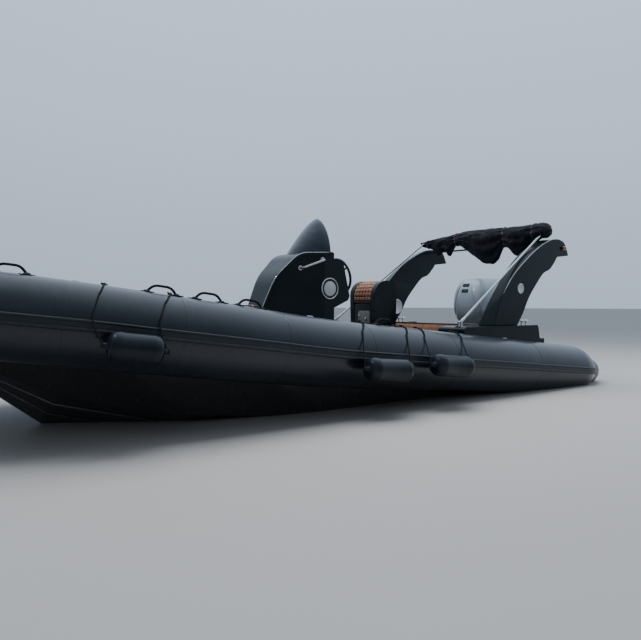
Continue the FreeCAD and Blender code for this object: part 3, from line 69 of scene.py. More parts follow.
# %% A socket that can be added and multiplied
class Wire:
    """The output of a node in a finish."""

    def __init__(self, finish, socket):
        self.finish = finish
        self.socket = socket

    def sum(self, operation, *others):
        inputs = dict(enumerate((self,) + others))
        return self.finish.node("ShaderNodeMath", {"operation": operation}, inputs)

    def __add__(self, other):
        return self.sum("ADD", other)

    def __mul__(self, other):
        return self.sum("MULTIPLY", other)

    def __rsub__(self, other):
        return self.finish.node("ShaderNodeMath", {"operation": "SUBTRACT"}, {0: other, 1: self})

    __radd__ = __add__
    __rmul__ = __mul__

    def wave(self, length):
        """A smooth wave of this length, from 0 to 1."""
        return (self * (2.0 * math.pi / length)).sum("SINE") * 0.5 + 0.5

    def rise(self, low, high):
        """0 below low, 1 above high, smooth in between."""
        settings = {"interpolation_type": "SMOOTHSTEP"}
        inputs = {"Value": self, "From Min": low, "From Max": high}
        return self.finish.node("ShaderNodeMapRange", settings, inputs)


# %% A finish, with its few kinds of pattern
class Finish:
    """A material under way. Sizes are in metres."""

    def __init__(self, name, **constants):
        self.material = bpy.data.materials.new(name)
        self.material.use_nodes = True
        self.tree = self.material.node_tree
        self.shader = self.tree.nodes["Principled BSDF"]
        self.place = self.node("ShaderNodeTexCoord", output="Object")
        for socket, value in constants.items():
            self.put(socket, value)

    def node(self, kind, settings=None, inputs=None, output=0):
        made = self.tree.nodes.new(kind)
        for name, value in (settings or {}).items():
            setattr(made, name, value)
        for name, value in (inputs or {}).items():
            self.feed(made.inputs[name], value)
        return Wire(self, made.outputs[output])

    def feed(self, socket, value):
        """Link or set a socket; a colour is given without its alpha."""
        if isinstance(value, Wire):
            self.tree.links.new(value.socket, socket)
        elif socket.type == "RGBA":
            socket.default_value = (*value, 1.0)
        else:
            socket.default_value = value

    def put(self, socket, value):
        """Set a socket of the shader; its spaces are written as underscores."""
        self.feed(self.shader.inputs[socket.replace("_", " ")], value)

    def axes(self, vector=None):
        """The three parts of a position."""
        split = self.node("ShaderNodeSeparateXYZ", inputs={0: vector or self.place})
        outputs = split.socket.node.outputs
        return [Wire(self, outputs[index]) for index in range(3)]

    def noise(self, size, detail=3.0, squeeze=(1.0, 1.0, 1.0)):
        """Cloudy noise; squeeze makes its patches narrower along an axis."""
        scale = tuple(share / size for share in squeeze)
        vector = self.node("ShaderNodeMapping", inputs={"Vector": self.place, "Scale": scale})
        inputs = {"Vector": vector, "Scale": 1.0, "Detail": detail}
        return self.node("ShaderNodeTexNoise", inputs=inputs)

    def cells(self, size, feature="F1"):
        inputs = {"Vector": self.place, "Scale": 1.0 / size}
        return self.node("ShaderNodeTexVoronoi", {"feature": feature}, inputs)

    def blend(self, mask, low, high):
        """One colour where the mask is 0, the other where it is 1."""
        inputs = {0: mask, 6: low, 7: high}
        return self.node("ShaderNodeMix", {"data_type": "RGBA"}, inputs, output=2)

    def surface(self, mask, low, high, roughness, height=None):
        """Blend two colours, set the roughness, and make bumps from a height in metres."""
        self.put("Base_Color", self.blend(mask, low, high))
        self.put("Roughness", roughness)
        if height:
            inputs = {"Height": height, "Distance": 1.0, "Strength": 1.0}
            self.put("Normal", self.node("ShaderNodeBump", inputs=inputs))
        return self.material


def grey(value, blue=1.0):
    """A near-neutral colour, a little blue where blue is over 1."""
    return value, value * (1.0 + blue) / 2.0, value * blue


# %% [markdown]
# ## Rubber and moulded finishes
# The collar is coated fabric: dark, with a faint grain, dust and rain marks that
# run down its sides. The strake is bare rubber. Mouldings are gelcoat under a
# clear gloss, with a little ripple in it. Each height below is in metres, so
# that a grain of a tenth of a millimetre stays that small at any distance.


# %% Collar, strake and fender
def coated_fabric():
    made = Finish("coated_fabric", Specular_IOR_Level=0.2, Coat_Weight=0.7, Coat_Roughness=0.2)
    dust = made.noise(0.7, 5.0).rise(0.42, 0.75)
    runs = made.noise(0.5, 4.0, (9.0, 9.0, 1.2)).rise(0.55, 0.8)
    mask = dust * 0.5 + runs * 0.3
    return made.surface(mask, (0.0055, 0.010, 0.016), (0.017, 0.024, 0.032), mask * 0.16 + 0.36,
                        made.noise(0.0016, 2.0) * 0.00009 + made.noise(0.35, 2.0) * 0.0016)


def bare_rubber():
    made = Finish("bare_rubber")
    scuff = made.noise(0.06, 4.0, (1.0, 1.0, 4.0)).rise(0.58, 0.75)
    return made.surface(scuff * 0.7, (0.008, 0.012, 0.016), (0.040, 0.045, 0.050), scuff * 0.25 + 0.42,
                        made.noise(0.002, 2.0) * 0.0001)


def fender_vinyl():
    made = Finish("fender_vinyl", Coat_Roughness=0.2, Specular_IOR_Level=0.18)
    dust = made.noise(0.12, 4.0).rise(0.45, 0.75)
    made.put("Coat_Weight", 0.2 - dust * 0.15)
    return made.surface(dust, (0.0055, 0.0095, 0.014), (0.014, 0.019, 0.025), dust * 0.15 + 0.28,
                        made.noise(0.004, 2.0) * 0.0001)


# %% Gelcoat mouldings, hull, control plastic
def gloss_moulding():
    made = Finish("gloss_moulding", Coat_Weight=0.4, Coat_Roughness=0.09, Specular_IOR_Level=0.12)
    haze = made.noise(0.3, 5.0).rise(0.4, 0.8)
    spots = made.noise(0.012, 2.0).rise(0.68, 0.75)
    return made.surface(haze * 0.6, (0.0035, 0.0075, 0.0095), (0.010, 0.015, 0.018),
                        haze * 0.14 + spots * 0.2 + 0.3,
                        made.noise(0.02, 2.0) * 0.00005 + made.noise(0.4, 1.0) * 0.0008)


def hull_gelcoat():
    made = Finish("hull_gelcoat", Coat_Weight=0.6, Coat_Roughness=0.12)
    drips = made.noise(0.25, 4.0, (6.0, 6.0, 1.0)).rise(0.5, 0.8)
    # The greenish band at the waterline, patchy and lighter than the hull, is painted reflection of the water;
    # the band is also made rougher.
    waterline_reflection_band = 1.0 - made.axes()[2].rise(-0.06, 0.05)
    dark = made.blend(drips * 0.5, grey(0.016, 1.2), grey(0.034, 1.15))
    return made.surface(waterline_reflection_band * made.noise(0.05, 4.0).rise(0.3, 0.6) * 0.6, dark, (0.030, 0.036, 0.022),
                        waterline_reflection_band * 0.25 + drips * 0.1 + 0.22, made.noise(0.015, 2.0) * 0.00006)


def control_plastic():
    made = Finish("control_plastic")
    wear = made.noise(0.03).rise(0.5, 0.8)
    return made.surface(wear, grey(0.010, 1.1), grey(0.022, 1.1), 0.55 - wear * 0.15,
                        made.cells(0.0009) * 0.00012)


def tinted_screen():
    made = Finish("tinted_screen", Coat_Weight=0.55, Coat_Roughness=0.03, Specular_IOR_Level=0.3)
    wipe = made.noise(0.15, 4.0, (1.0, 1.0, 3.0)).rise(0.45, 0.8)
    made.put("Alpha", 0.96 + wipe * 0.03)
    return made.surface(wipe, (0.008, 0.014, 0.024), (0.016, 0.024, 0.036), wipe * 0.12 + 0.06)


# %% [markdown]
# ## Metals, paint and lenses
# Stainless tube is polished along its length, so its fine scratches are long
# and thin. The cowl is silver paint: tiny flakes under a clear coat.


# %% Metals and paints
def stainless():
    made = Finish("stainless", Metallic=1.0)
    brush = made.noise(0.02, 3.0, (0.15, 1.0, 1.0))
    salt = made.noise(0.01).rise(0.62, 0.72)
    return made.surface(salt * 0.4, (0.66, 0.67, 0.69), (0.46, 0.47, 0.48), brush * 0.12 + salt * 0.2 + 0.1,
                        brush * 0.00002)


def metal_paint(name, colour, roughness):
    made = Finish(name, Coat_Weight=0.8, Coat_Roughness=0.06)
    flake = made.cells(0.0008)
    dust = made.noise(0.25, 4.0).rise(0.45, 0.8)
    made.put("Metallic", 0.4 - dust * 0.15)
    return made.surface(dust * 0.7 + flake * 0.3, colour, [value * 0.8 for value in colour],
                        flake * 0.1 + dust * 0.12 + roughness, made.noise(0.5, 1.0) * 0.0006)


def propeller_metal():
    made = Finish("propeller_metal", Metallic=1.0)
    stain = made.noise(0.03, 4.0).rise(0.45, 0.75)
    return made.surface(stain, (0.55, 0.54, 0.52), (0.30, 0.29, 0.27), stain * 0.25 + 0.22,
                        made.axes()[0].wave(0.0025) * 0.00003)


def lens(name, colour):
    made = Finish(name, Coat_Weight=1.0, Coat_Roughness=0.04)
    # The grooves between the ribs get a darker shade of the lens colour: painted shade in the recesses.
    ribs_and_groove_shade = made.axes()[0].wave(0.008)
    return made.surface(ribs_and_groove_shade, [value * 0.35 for value in colour], colour,
                        0.1 + made.noise(0.02).rise(0.5, 0.8) * 0.2, ribs_and_groove_shade * 0.0006)


# %% [markdown]
# ## Leather cloth, canvas, rope and deck foam
# The seats are vinyl with a leather grain: shallow cells with soft creases
# between them. The canopy is canvas, whose weave is two crossed waves.


# %% Soft and laid finishes
def leather_cloth(quilt=0.0):
    """Tan leather cloth; a quilt size paints shade into the sewn lines of a grid on the UV map."""
    made = Finish("quilted_leather" if quilt else "leather_cloth", Specular_IOR_Level=0.4)
    grain = made.cells(0.0028, "DISTANCE_TO_EDGE").rise(0.0, 0.25)
    fade = made.noise(0.12, 4.0).rise(0.35, 0.75)
    colours = fade, (0.165, 0.080, 0.046), (0.230, 0.118, 0.072)
    if quilt:
        across, along, _ = made.axes(made.node("ShaderNodeTexCoord", output="UV"))
        # Near each sewn line the colour falls to a near-black brown: painted shade in the creases between the
        # pillows.
        pillow_crease_shade = [(part * (math.pi / quilt)).sum("SINE").sum("ABSOLUTE").rise(0.05, 0.45)
                   for part in (across, along)]
        colours = pillow_crease_shade[0] * pillow_crease_shade[1], (0.045, 0.016, 0.008), made.blend(*colours)
    return made.surface(*colours, 0.46 - grain * 0.08 + fade * 0.1,
                        grain * 0.00012 + made.noise(0.03, 2.0) * 0.0006)


def dark_leather_cloth(name, colour):
    made = Finish(name)
    grain = made.cells(0.0025, "DISTANCE_TO_EDGE").rise(0.0, 0.25)
    fade = made.noise(0.1, 4.0).rise(0.35, 0.75)
    return made.surface(fade * 0.6, colour, [value * 1.8 + 0.004 for value in colour], 0.44 - grain * 0.08,
                        grain * 0.0001)


def canopy_canvas():
    made = Finish("canopy_canvas", Sheen_Weight=0.04, Sheen_Roughness=0.5, Specular_IOR_Level=0.15)
    across, along, up = [axis.wave(0.0021) for axis in made.axes()]
    sun = made.noise(0.3, 4.0).rise(0.4, 0.8)
    return made.surface(sun, (0.0055, 0.0085, 0.013), (0.015, 0.0125, 0.019), 0.86 - sun * 0.1,
                        (across * up + along) * 0.00012 + made.noise(0.02) * 0.0005)


def rope_fibre():
    made = Finish("rope_fibre", Specular_IOR_Level=0.25)
    fibre = made.noise(0.0015, 2.0)
    return made.surface(fibre, grey(0.004, 1.2), grey(0.015, 1.2), 0.9 - fibre * 0.15, fibre * 0.0003)


def deck_foam():
    made = Finish("deck_foam")
    groove = made.axes()[1].wave(0.045).rise(0.0, 0.06)
    grime = made.noise(0.2, 5.0).rise(0.4, 0.8)
    face = made.blend(grime, grey(0.055, 1.05), grey(0.085))
    return made.surface(groove, grey(0.010), face, 0.9 - grime * 0.1,
                        groove * 0.0018 + made.noise(0.002) * 0.0002)


# %% Give each solid piece the finish of its slot
FINISHES = {
    "hull_gelcoat": hull_gelcoat(),
    "collar_rubber": coated_fabric(),
    "strake_rubber": bare_rubber(),
    "deck_pad": deck_foam(),
    "gloss_black_moulding": gloss_moulding(),
    "stainless_tube": stainless(),
    "tinted_screen": tinted_screen(),
    "control_plastic": control_plastic(),
    "tan_upholstery": leather_cloth(),
    "red_lens": lens("red_lens", (0.13, 0.008, 0.008)),
    "green_lens": lens("green_lens", (0.012, 0.20, 0.06)),
    "engine_paint": metal_paint("engine_paint", (0.17, 0.18, 0.19), 0.3),
    "fender_vinyl": fender_vinyl(),
    "black_rope": rope_fibre(),
    "canopy_cloth": canopy_canvas(),
    "cowl_silver": metal_paint("cowl_silver", (0.26, 0.32, 0.38), 0.3),
    "propeller_metal": propeller_metal(),
}
for node, solid in frame["nodes"].items():
    solid.data.materials.clear()
    solid.data.materials.append(FINISHES[SLOT_OF[node]])
print("finishes:", len(FINISHES))

# %% [markdown]
# ## Small tools for making pieces
# A new piece starts as a primitive or a line at its size and place, and is then
# shaped. Operators act on whatever is selected, so each step first drops the old
# selection and takes its own piece. At the end a piece is settled: its place
# goes into its mesh, its object returns to the origin, and it gets its finish
# and the body that carries it.


# %% Taking, editing and settling
def take(piece):
    """Make a piece the only one selected, in object mode."""
    drop_selection()
    piece.select_set(True)
    bpy.context.view_layer.objects.active = piece


def drop_selection():
    if bpy.context.object and bpy.context.object.mode == "EDIT":
        bpy.ops.object.mode_set(mode="OBJECT")
    bpy.ops.object.select_all(action="DESELECT")


def edit(piece):
    """Enter edit mode with the whole piece selected."""
    take(piece)
    bpy.ops.object.mode_set(mode="EDIT")
    bpy.ops.mesh.select_all(action="SELECT")


def face_outward():
    """Turn every face outward, and leave edit mode."""
    bpy.ops.mesh.select_all(action="SELECT")
    bpy.ops.mesh.normals_make_consistent(inside=False)
    bpy.ops.object.mode_set(mode="OBJECT")


def modify(piece, kind, **settings):
    """Add a modifier and apply it."""
    take(piece)
    made = piece.modifiers.new(kind.lower(), kind)
    for name, value in settings.items():
        setattr(made, name, value)
    bpy.ops.object.modifier_apply(modifier=made.name)


def bevel(piece, width, segments=3, angle=60.0):
    """Round the edges that turn by more than an angle."""
    modify(piece, "BEVEL", width=width, segments=segments, limit_method="ANGLE",
           angle_limit=math.radians(angle))


def settle(piece, name, body, slot, angle=35.0, finish=None):
    """Put the place into the mesh, shade it, and let a body carry it."""
    take(piece)
    bpy.ops.object.transform_apply()
    bpy.ops.object.shade_smooth_by_angle(angle=math.radians(angle))
    piece.name = name
    piece.data.materials.append(finish or FINISHES[slot])
    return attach(piece, body)


def join(pieces):
    """Make several pieces one mesh."""
    take(pieces[0])
    for piece in pieces[1:]:
        piece.select_set(True)
    if len(pieces) > 1:
        bpy.ops.object.join()
    return pieces[0]


# %% Surfaces, and curves through a table
def placed(name, data):
    """A new object in the scene for a mesh or a curve."""
    piece = bpy.data.objects.new(name, data)
    bpy.context.scene.collection.objects.link(piece)
    return piece


def skin(name, rows, wrap=False, uv=None):
    """A surface through rows of points; wrap closes each row on itself."""
    count = len(rows[0])
    points = [point for row in rows for point in row]
    faces = []
    for r in range(len(rows) - 1):
        for c in range(count if wrap else count - 1):
            after = (c + 1) % count
            faces.append((r * count + c, r * count + after, (r + 1) * count + after, (r + 1) * count + c))
    mesh = bpy.data.meshes.new(name)
    mesh.from_pydata(points, [], faces)
    if uv:
        layer = mesh.uv_layers.new(name="cloth")
        for loop in mesh.loops:
            layer.data[loop.index].uv = uv[loop.vertex_index]
    return placed(name, mesh)


def between(table, x):
    """Value on a smooth curve through a table of (place, value) pairs."""
    if x <= table[0][0]:
        return table[0][1]
    ends = (table[0],) + tuple(table) + (table[-1],)
    for (xa, va), (x0, v0), (x1, v1), (xb, vb) in zip(ends, ends[1:], ends[2:], ends[3:]):
        if x <= x1:
            t = (x - x0) / (x1 - x0)
            low = (v1 - va) / (x1 - xa) * (x1 - x0)
            high = (vb - v0) / (xb - x0) * (x1 - x0)
            return (v0 * (1 + 2 * t) * (1 - t) ** 2 + low * t * (1 - t) ** 2
                    + v1 * t * t * (3 - 2 * t) + high * t * t * (t - 1))
    return table[-1][1]


def bell(distance, width):
    """A smooth hump: 1 in the middle, near 0 at two widths from it."""
    return math.exp(-(distance / width) ** 2)


def tapered(end, rise):
    """A swell for a bar that thins to a share of its radius at both ends."""
    return lambda share: min(1.0, end + rise * share * (1.0 - share))


def turns(count):
    """Angles that divide a full turn."""
    return [2.0 * math.pi * index / count for index in range(count)]


def distances(points):
    """How far along a line each of its points is."""
    found = [0.0]
    for here, there in zip(points, points[1:]):
        found.append(found[-1] + (there - here).length)
    return found


# %% [markdown]
# ## Lines, bars, turned pieces and plates
# Tube and rope are round all along, so each is a line with a bevel. A bent tube's
# line is straight runs joined by true arcs, as a tube bender makes them, and a
# rope's line is a smooth curve through a few places. A turned piece starts as a
# disc, which is extruded and resized step by step, as a lathe cuts it. A plate
# starts as a disc whose rim is drawn out to one outline, and is then extruded to
# the other, so that its edge can slope.


# %% Lines
def rounded_path(corners, tangents, step):
    """Points along straight runs joined by arcs, about a step apart."""
    points = [Vector(corners[0])]

    def run_to(place):
        start = points[-1]
        count = max(1, round((place - start).length / step))
        points.extend(start.lerp(place, (index + 1) / count) for index in range(count))

    for before, corner, after, tangent in zip(corners, corners[1:], corners[2:], tangents):
        way_in = (Vector(corner) - Vector(before)).normalized()
        way_out = (Vector(after) - Vector(corner)).normalized()
        turn = way_in.angle(way_out)
        radius = tangent / math.tan(turn / 2.0)
        run_to(Vector(corner) - way_in * tangent)
        start = points[-1]
        centre = Vector(corner) + (way_out - way_in).normalized() * (radius / math.cos(turn / 2.0))
        axis = way_in.cross(way_out).normalized()
        count = max(2, round(radius * turn / step))
        points.extend(centre + Matrix.Rotation(turn * (index + 1) / count, 3, axis) @ (start - centre)
                      for index in range(count))
    run_to(Vector(corners[-1]))
    return points


def smooth_line(places, step):
    """Points about a step apart on a curve through each given place."""
    places = [Vector(place) for place in places]
    line = [places[0]]
    ends = [places[0] * 2.0 - places[1]] + places + [places[-1] * 2.0 - places[-2]]
    for a, b, c, d in zip(ends, ends[1:], ends[2:], ends[3:]):
        count = max(1, round((c - b).length / step))
        for index in range(1, count + 1):
            t = index / count
            line.append(0.5 * (b * 2.0 + (c - a) * t + (a * 2.0 - b * 5.0 + c * 4.0 - d) * t * t
                               + (b * 3.0 - a - c * 3.0 + d) * t ** 3))
    return line


def rounded_loop(low, high, radius, level, axis=2, steps=6):
    """Corners of a rounded rectangle at a level along an axis."""
    u, v = [k for k in range(3) if k != axis]
    points = []
    for cu, cv, first in ((high[u] - radius, high[v] - radius, 0), (low[u] + radius, high[v] - radius, 1),
                          (low[u] + radius, low[v] + radius, 2), (high[u] - radius, low[v] + radius, 3)):
        for index in range(steps + 1):
            angle = math.pi / 2.0 * (first + index / steps)
            place = [0.0, 0.0, 0.0]
            place[u] = cu + radius * math.cos(angle)
            place[v] = cv + radius * math.sin(angle)
            place[axis] = level
            points.append(Vector(place))
    return points


def facing_loop(low, high, radius, x, steps=6):
    """Corners of a rounded rectangle that faces forward, between two pairs of y and z."""
    return rounded_loop((0.0, *low), (0.0, *high), radius, x, axis=0, steps=steps)


# %% Bars and ropes
def bar(line, radius, closed=False, fine=3, swell=None):
    """A round bar along a line; swell gives its share of the radius along the way."""
    curve = bpy.data.curves.new("bar", "CURVE")
    curve.dimensions = "3D"
    curve.bevel_depth = radius
    curve.bevel_resolution = fine
    curve.use_fill_caps = True
    spline = curve.splines.new("POLY")
    spline.points.add(len(line) - 1)
    for index, place in enumerate(line):
        spline.points[index].co = (*place, 1.0)
        spline.points[index].radius = swell(index / (len(line) - 1)) if swell else 1.0
    spline.use_cyclic_u = closed
    take(placed("bar", curve))
    bpy.ops.object.convert(target="MESH")
    return bpy.context.object


def rope(line, radius, lay=0.030):
    """Three strands laid round a line; the line's points are a few millimetres apart."""
    strands = [[], [], []]
    side = Vector((0.31, 0.47, 0.83))
    run = 0.0
    for index, place in enumerate(line):
        along = (line[min(index + 1, len(line) - 1)] - line[max(index - 1, 0)]).normalized()
        side = (side - along * side.dot(along)).normalized()
        run += (place - line[max(index - 1, 0)]).length
        for number, strand in enumerate(strands):
            turn = 2.0 * math.pi * (run / lay + number / 3.0)
            strand.append(place + Matrix.Rotation(turn, 3, along) @ side * (radius * 0.52))
    return join([bar(strand, radius * 0.50, fine=1) for strand in strands])


# %% Turned pieces, plates and copies
def turned(steps, place=(0.0, 0.0, 0.0), along=(0.0, 0.0, 1.0), sides=32):
    """A round piece as from a lathe; each step is how far along it, and the radius there."""
    drop_selection()
    bpy.ops.mesh.primitive_circle_add(vertices=sides, radius=steps[0][1], fill_type="NGON",
                                      location=(0.0, 0.0, steps[0][0]))
    piece = bpy.context.object
    bpy.ops.object.transform_apply()
    edit(piece)
    for (low, near), (high, far) in zip(steps, steps[1:]):
        bpy.ops.mesh.extrude_region_move(TRANSFORM_OT_translate={"value": (0.0, 0.0, high - low)})
        bpy.ops.transform.resize(value=(far / near, far / near, 1.0), center_override=(0.0, 0.0, high))
    face_outward()
    turn = Vector(along).to_track_quat("Z", "Y").to_matrix().to_4x4()
    piece.matrix_world = Matrix.Translation(place) @ turn
    return piece


def plate(near, far, edge):
    """A plate between two outlines with as many corners each, and rounded edges."""
    drop_selection()
    bpy.ops.mesh.primitive_circle_add(vertices=len(near), radius=1.0, fill_type="NGON")
    piece = bpy.context.object
    for vertex, place in zip(piece.data.vertices, near):
        vertex.co = place
    edit(piece)
    bpy.ops.mesh.extrude_region_move(TRANSFORM_OT_translate={"value": (0.0, 0.0, 0.0)})
    shape = bmesh.from_edit_mesh(piece.data)
    for vertex in [vertex for vertex in shape.verts if vertex.select]:
        match = min(range(len(near)), key=lambda index: (near[index] - vertex.co).length_squared)
        vertex.co = far[match]
    bmesh.update_edit_mesh(piece.data)
    face_outward()
    bevel(piece, edge, 4, 34.0)
    return piece


def copy_of(piece, matrix):
    """A copy with a mesh of its own, placed by a matrix."""
    made = placed(piece.name, piece.data.copy())
    made.matrix_world = matrix @ piece.matrix_world
    return made


def forget(piece):
    """Remove a pattern piece once its copies are made."""
    bpy.data.objects.remove(piece, do_unlink=True)


# %% [markdown]
# ## The rolled canopy
# The canopy is furled on the folding bow: a length of canvas wound round the top
# tube, tied in a few places, and sagging in swags between the ties. A swag's
# folds run parallel to its lower edge, and gathers fan out from each tie. The
# cloth is one sheet wound in a spiral, so three tables only say how far it
# reaches above, below and beside the tube at each place along it.

# %% Canopy: how the sheet lies
BOW_LOW, BOW_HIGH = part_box("canopy_bow")
TUBE_X = BOW_LOW.x + 0.0185
TUBE_Z = BOW_HIGH.z - 0.0175
CANVAS_END, CANVAS_SHUT = 1.01, 0.955
CANVAS_TURNS, CANVAS_INNER = 2.3, 0.55
CANVAS_T = 0.0014
CANVAS_TOP = ((-1.01, -0.018), (-0.82, 0.024), (-0.60, 0.047), (-0.38, 0.071), (-0.17, 0.094), (0.03, 0.092),
              (0.22, 0.095), (0.46, 0.082), (0.58, 0.084), (0.75, 0.085), (0.92, 0.093), (1.01, 0.060))
CANVAS_DROP = ((-1.01, 0.050), (-0.90, 0.066), (-0.79, 0.100), (-0.68, 0.190), (-0.60, 0.150), (-0.555, 0.135),
               (-0.49, 0.204), (-0.44, 0.140), (-0.40, 0.088), (-0.30, 0.090), (-0.24, 0.115), (-0.05, 0.250),
               (0.18, 0.340), (0.29, 0.285), (0.36, 0.150), (0.39, 0.125), (0.43, 0.160), (0.545, 0.270),
               (0.66, 0.245), (0.77, 0.165), (0.86, 0.090), (0.94, 0.082), (1.01, 0.060))
CANVAS_WIDTH = ((-1.01, 0.034), (-0.6, 0.070), (-0.38, 0.072), (0.15, 0.115), (0.39, 0.082),
                (0.6, 0.110), (0.9, 0.125), (1.01, 0.075))
TIES = (-0.87, -0.37, 0.385, 0.81)


def canvas_point(y, turn):
    """Point of the wound canvas; turn counts from the inner edge."""
    angle = 2.0 * math.pi * turn
    side, height = math.sin(angle), math.cos(angle)
    share = min(1.0, CANVAS_INNER + (1.0 - CANVAS_INNER) * turn / (CANVAS_TURNS - 1.0))
    top, drop, width = [between(table, y) for table in (CANVAS_TOP, CANVAS_DROP, CANVAS_WIDTH)]
    tie = sum(bell(y - place, 0.05) for place in TIES)
    down = max(0.0, -height)
    deep = max(0.0, drop - 0.09) / 0.25
    x = width * side * (1.0 - 0.55 * min(1.0, deep) * down ** 1.5) * (1.0 - 0.22 * min(1.0, tie))
    z = (top if height > 0.0 else drop) * height
    swag = 0.011 * deep * math.sin(down * 15.0 + 3.0 * noise.noise((y * 2.0, 0.0, turn)))
    gather = 0.007 * min(1.0, tie + 0.25) * math.sin(angle * 11.0 + y * 9.0)
    crease = 0.016 * noise.noise((y * 9.0, side * 2.2, height * 2.2 + turn))
    fine = 0.006 * noise.noise((y * 34.0, side * 7.0, height * 7.0))
    out = 1.0 + (swag + gather + crease + fine) / max(width, 0.05)
    lean = 0.10 * down * deep * math.sin(y * 7.0) * width
    shut = max(0.0, (abs(y) - CANVAS_SHUT) / (CANVAS_END - CANVAS_SHUT))
    share *= 1.0 - 0.86 * shut * shut
    return Vector((TUBE_X + x * out * share + lean, y, TUBE_Z + z * (1.0 + (out - 1.0) * 0.5) * share))


def canvas_rows(along=230, round_=150):
    """Rows of points wound round the tube, from one end of the roll to the other."""
    places = [-CANVAS_END + 2.0 * CANVAS_END * r / along for r in range(along + 1)]
    return [[canvas_point(y, CANVAS_TURNS * c / round_) for c in range(round_ + 1)] for y in places]


def tie_line(y):
    """A closed line round the roll, a little off it."""
    line = []
    for index in range(48):
        place = canvas_point(y + 0.006 * math.sin(index * 0.7), CANVAS_TURNS - 1.0 + index / 48)
        away = place - Vector((TUBE_X, place.y, TUBE_Z))
        line.append(place + away.normalized() * 0.005)
    return line


# %% Canopy: the wound sheet
rows = canvas_rows()
lengths = distances(rows[len(rows) // 2])
canvas = skin("canvas", rows, uv=[(row[0].y, length) for row in rows for length in lengths])
canvas_area = sum(face.area for face in canvas.data.polygons)
CANVAS_LENGTH = round(canvas_area / (2.0 * CANVAS_END), 2)
modify(canvas, "SOLIDIFY", thickness=CANVAS_T, offset=0.0)
settle(canvas, "canopy_canvas", "canopy", "canopy_cloth", 60.0)
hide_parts("canopy_bundle")
print("canvas: %.2f m across, %.2f m of cloth rolled up" % (2.0 * CANVAS_END, CANVAS_LENGTH))

# %% Canopy: the ties round the roll
plum_cord = dark_leather_cloth("plum_cord", (0.050, 0.022, 0.040))
ties = join([bar(tie_line(y + shift), 0.0045, closed=True, fine=2) for y in TIES for shift in (0.0, 0.014)])
settle(ties, "canopy_ties", "canopy", "black_rope", 60.0, plum_cord)

# %% [markdown]
# ## The folding bow
# The bow is one bent tube that swings on a pin at each foot. A tube bender leaves
# true arcs, so its line is three straight runs and two arcs. Each foot ends in a
# moulded eye with a collar that grips the tube.

# %% Bow: the bent tube and its eyes
BOW_FOOT = Vector((1.440, 0.985, 0.732))
BOW_TOP = Vector((-0.120, 0.925, 1.775))
MIRROR_Y = Matrix.Scale(-1.0, 4, (0.0, 1.0, 0.0))
bow_corners = [BOW_FOOT, BOW_TOP, MIRROR_Y @ BOW_TOP, MIRROR_Y @ BOW_FOOT]
parts = [bar(rounded_path(bow_corners, (0.090, 0.090), 0.010), 0.0125, fine=6)]
EYE_STEPS = ((-0.0125, 0.0165), (-0.011, 0.0180), (0.011, 0.0180), (0.0125, 0.0165))
GRIP_STEPS = ((0.016, 0.0150), (0.020, 0.0160), (0.075, 0.0155), (0.080, 0.0140))
for foot, top in (bow_corners[:2], bow_corners[:1:-1]):
    parts.append(turned(EYE_STEPS, foot, (0.0, 1.0, 0.0)))
    parts.append(turned(GRIP_STEPS, foot, top - foot))
bow = settle(join(parts), "canopy_bow_tube", "canopy", "stainless_tube")
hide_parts("canopy_bow")
print("bow:", len(bow.data.polygons), "faces")

# %% [markdown]
# ## The arch legs
# Each leg is a hollow moulding with a flat inner side, a narrower outer side and
# a front face that slopes between them. So the leg is a plate between two
# outlines, drawn from the same few heights as the frame's leg but as smooth
# curves. A bevel rounds its edges. A bright stainless bead along the front edge
# stands in for the highlight on that rounded edge: a painted highlight.

# %% Arch legs: two outlines, inner and outer
LEG_IN_Y, LEG_OUT_Y = 0.880, 1.000
LEG_FRONT = ((1.030, 0.908, 0.690), (0.925, 0.852, 0.846), (0.806, 0.768, 1.007), (0.600, 0.566, 1.242),
             (0.375, 0.300, 1.440), (0.130, 0.076, 1.574), (-0.060, -0.110, 1.650), (-0.200, -0.215, 1.672),
             (-0.345, -0.345, 1.668), (-0.435, -0.430, 1.626), (-0.505, -0.505, 1.494))
LEG_REAR = ((-0.270, 1.468), (-0.200, 1.388), (-0.115, 1.317), (0.010, 1.266), (0.146, 1.140), (0.280, 0.995),
            (0.385, 0.830), (0.493, 0.690))
front_rows = smooth_line(LEG_FRONT, 0.022)
rear_rows = smooth_line([(x, x, z) for x, z in LEG_REAR], 0.022)
leg_rows = front_rows + rear_rows
for side, name in SIDES.items():
    inner = [Vector((row.x, side * LEG_IN_Y, row.z)) for row in leg_rows]
    outer = [Vector((row.y, side * LEG_OUT_Y, row.z)) for row in leg_rows]
    leg = plate(inner, outer, 0.009)
    settle(leg, "arch_leg_shell_" + name, "hull", "gloss_black_moulding", 40.0)
    modify(leg, "WEIGHTED_NORMAL", keep_sharp=True, weight=80)
    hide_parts("arch_leg_" + name)
print("arch leg:", len(leg.data.polygons), "faces,", len(leg_rows), "corners")

# %% Arch legs: a bright bead as painted edge highlight, plain discs and the crossbar
pale_disc = metal_paint("pale_disc", (0.52, 0.55, 0.58), 0.35)
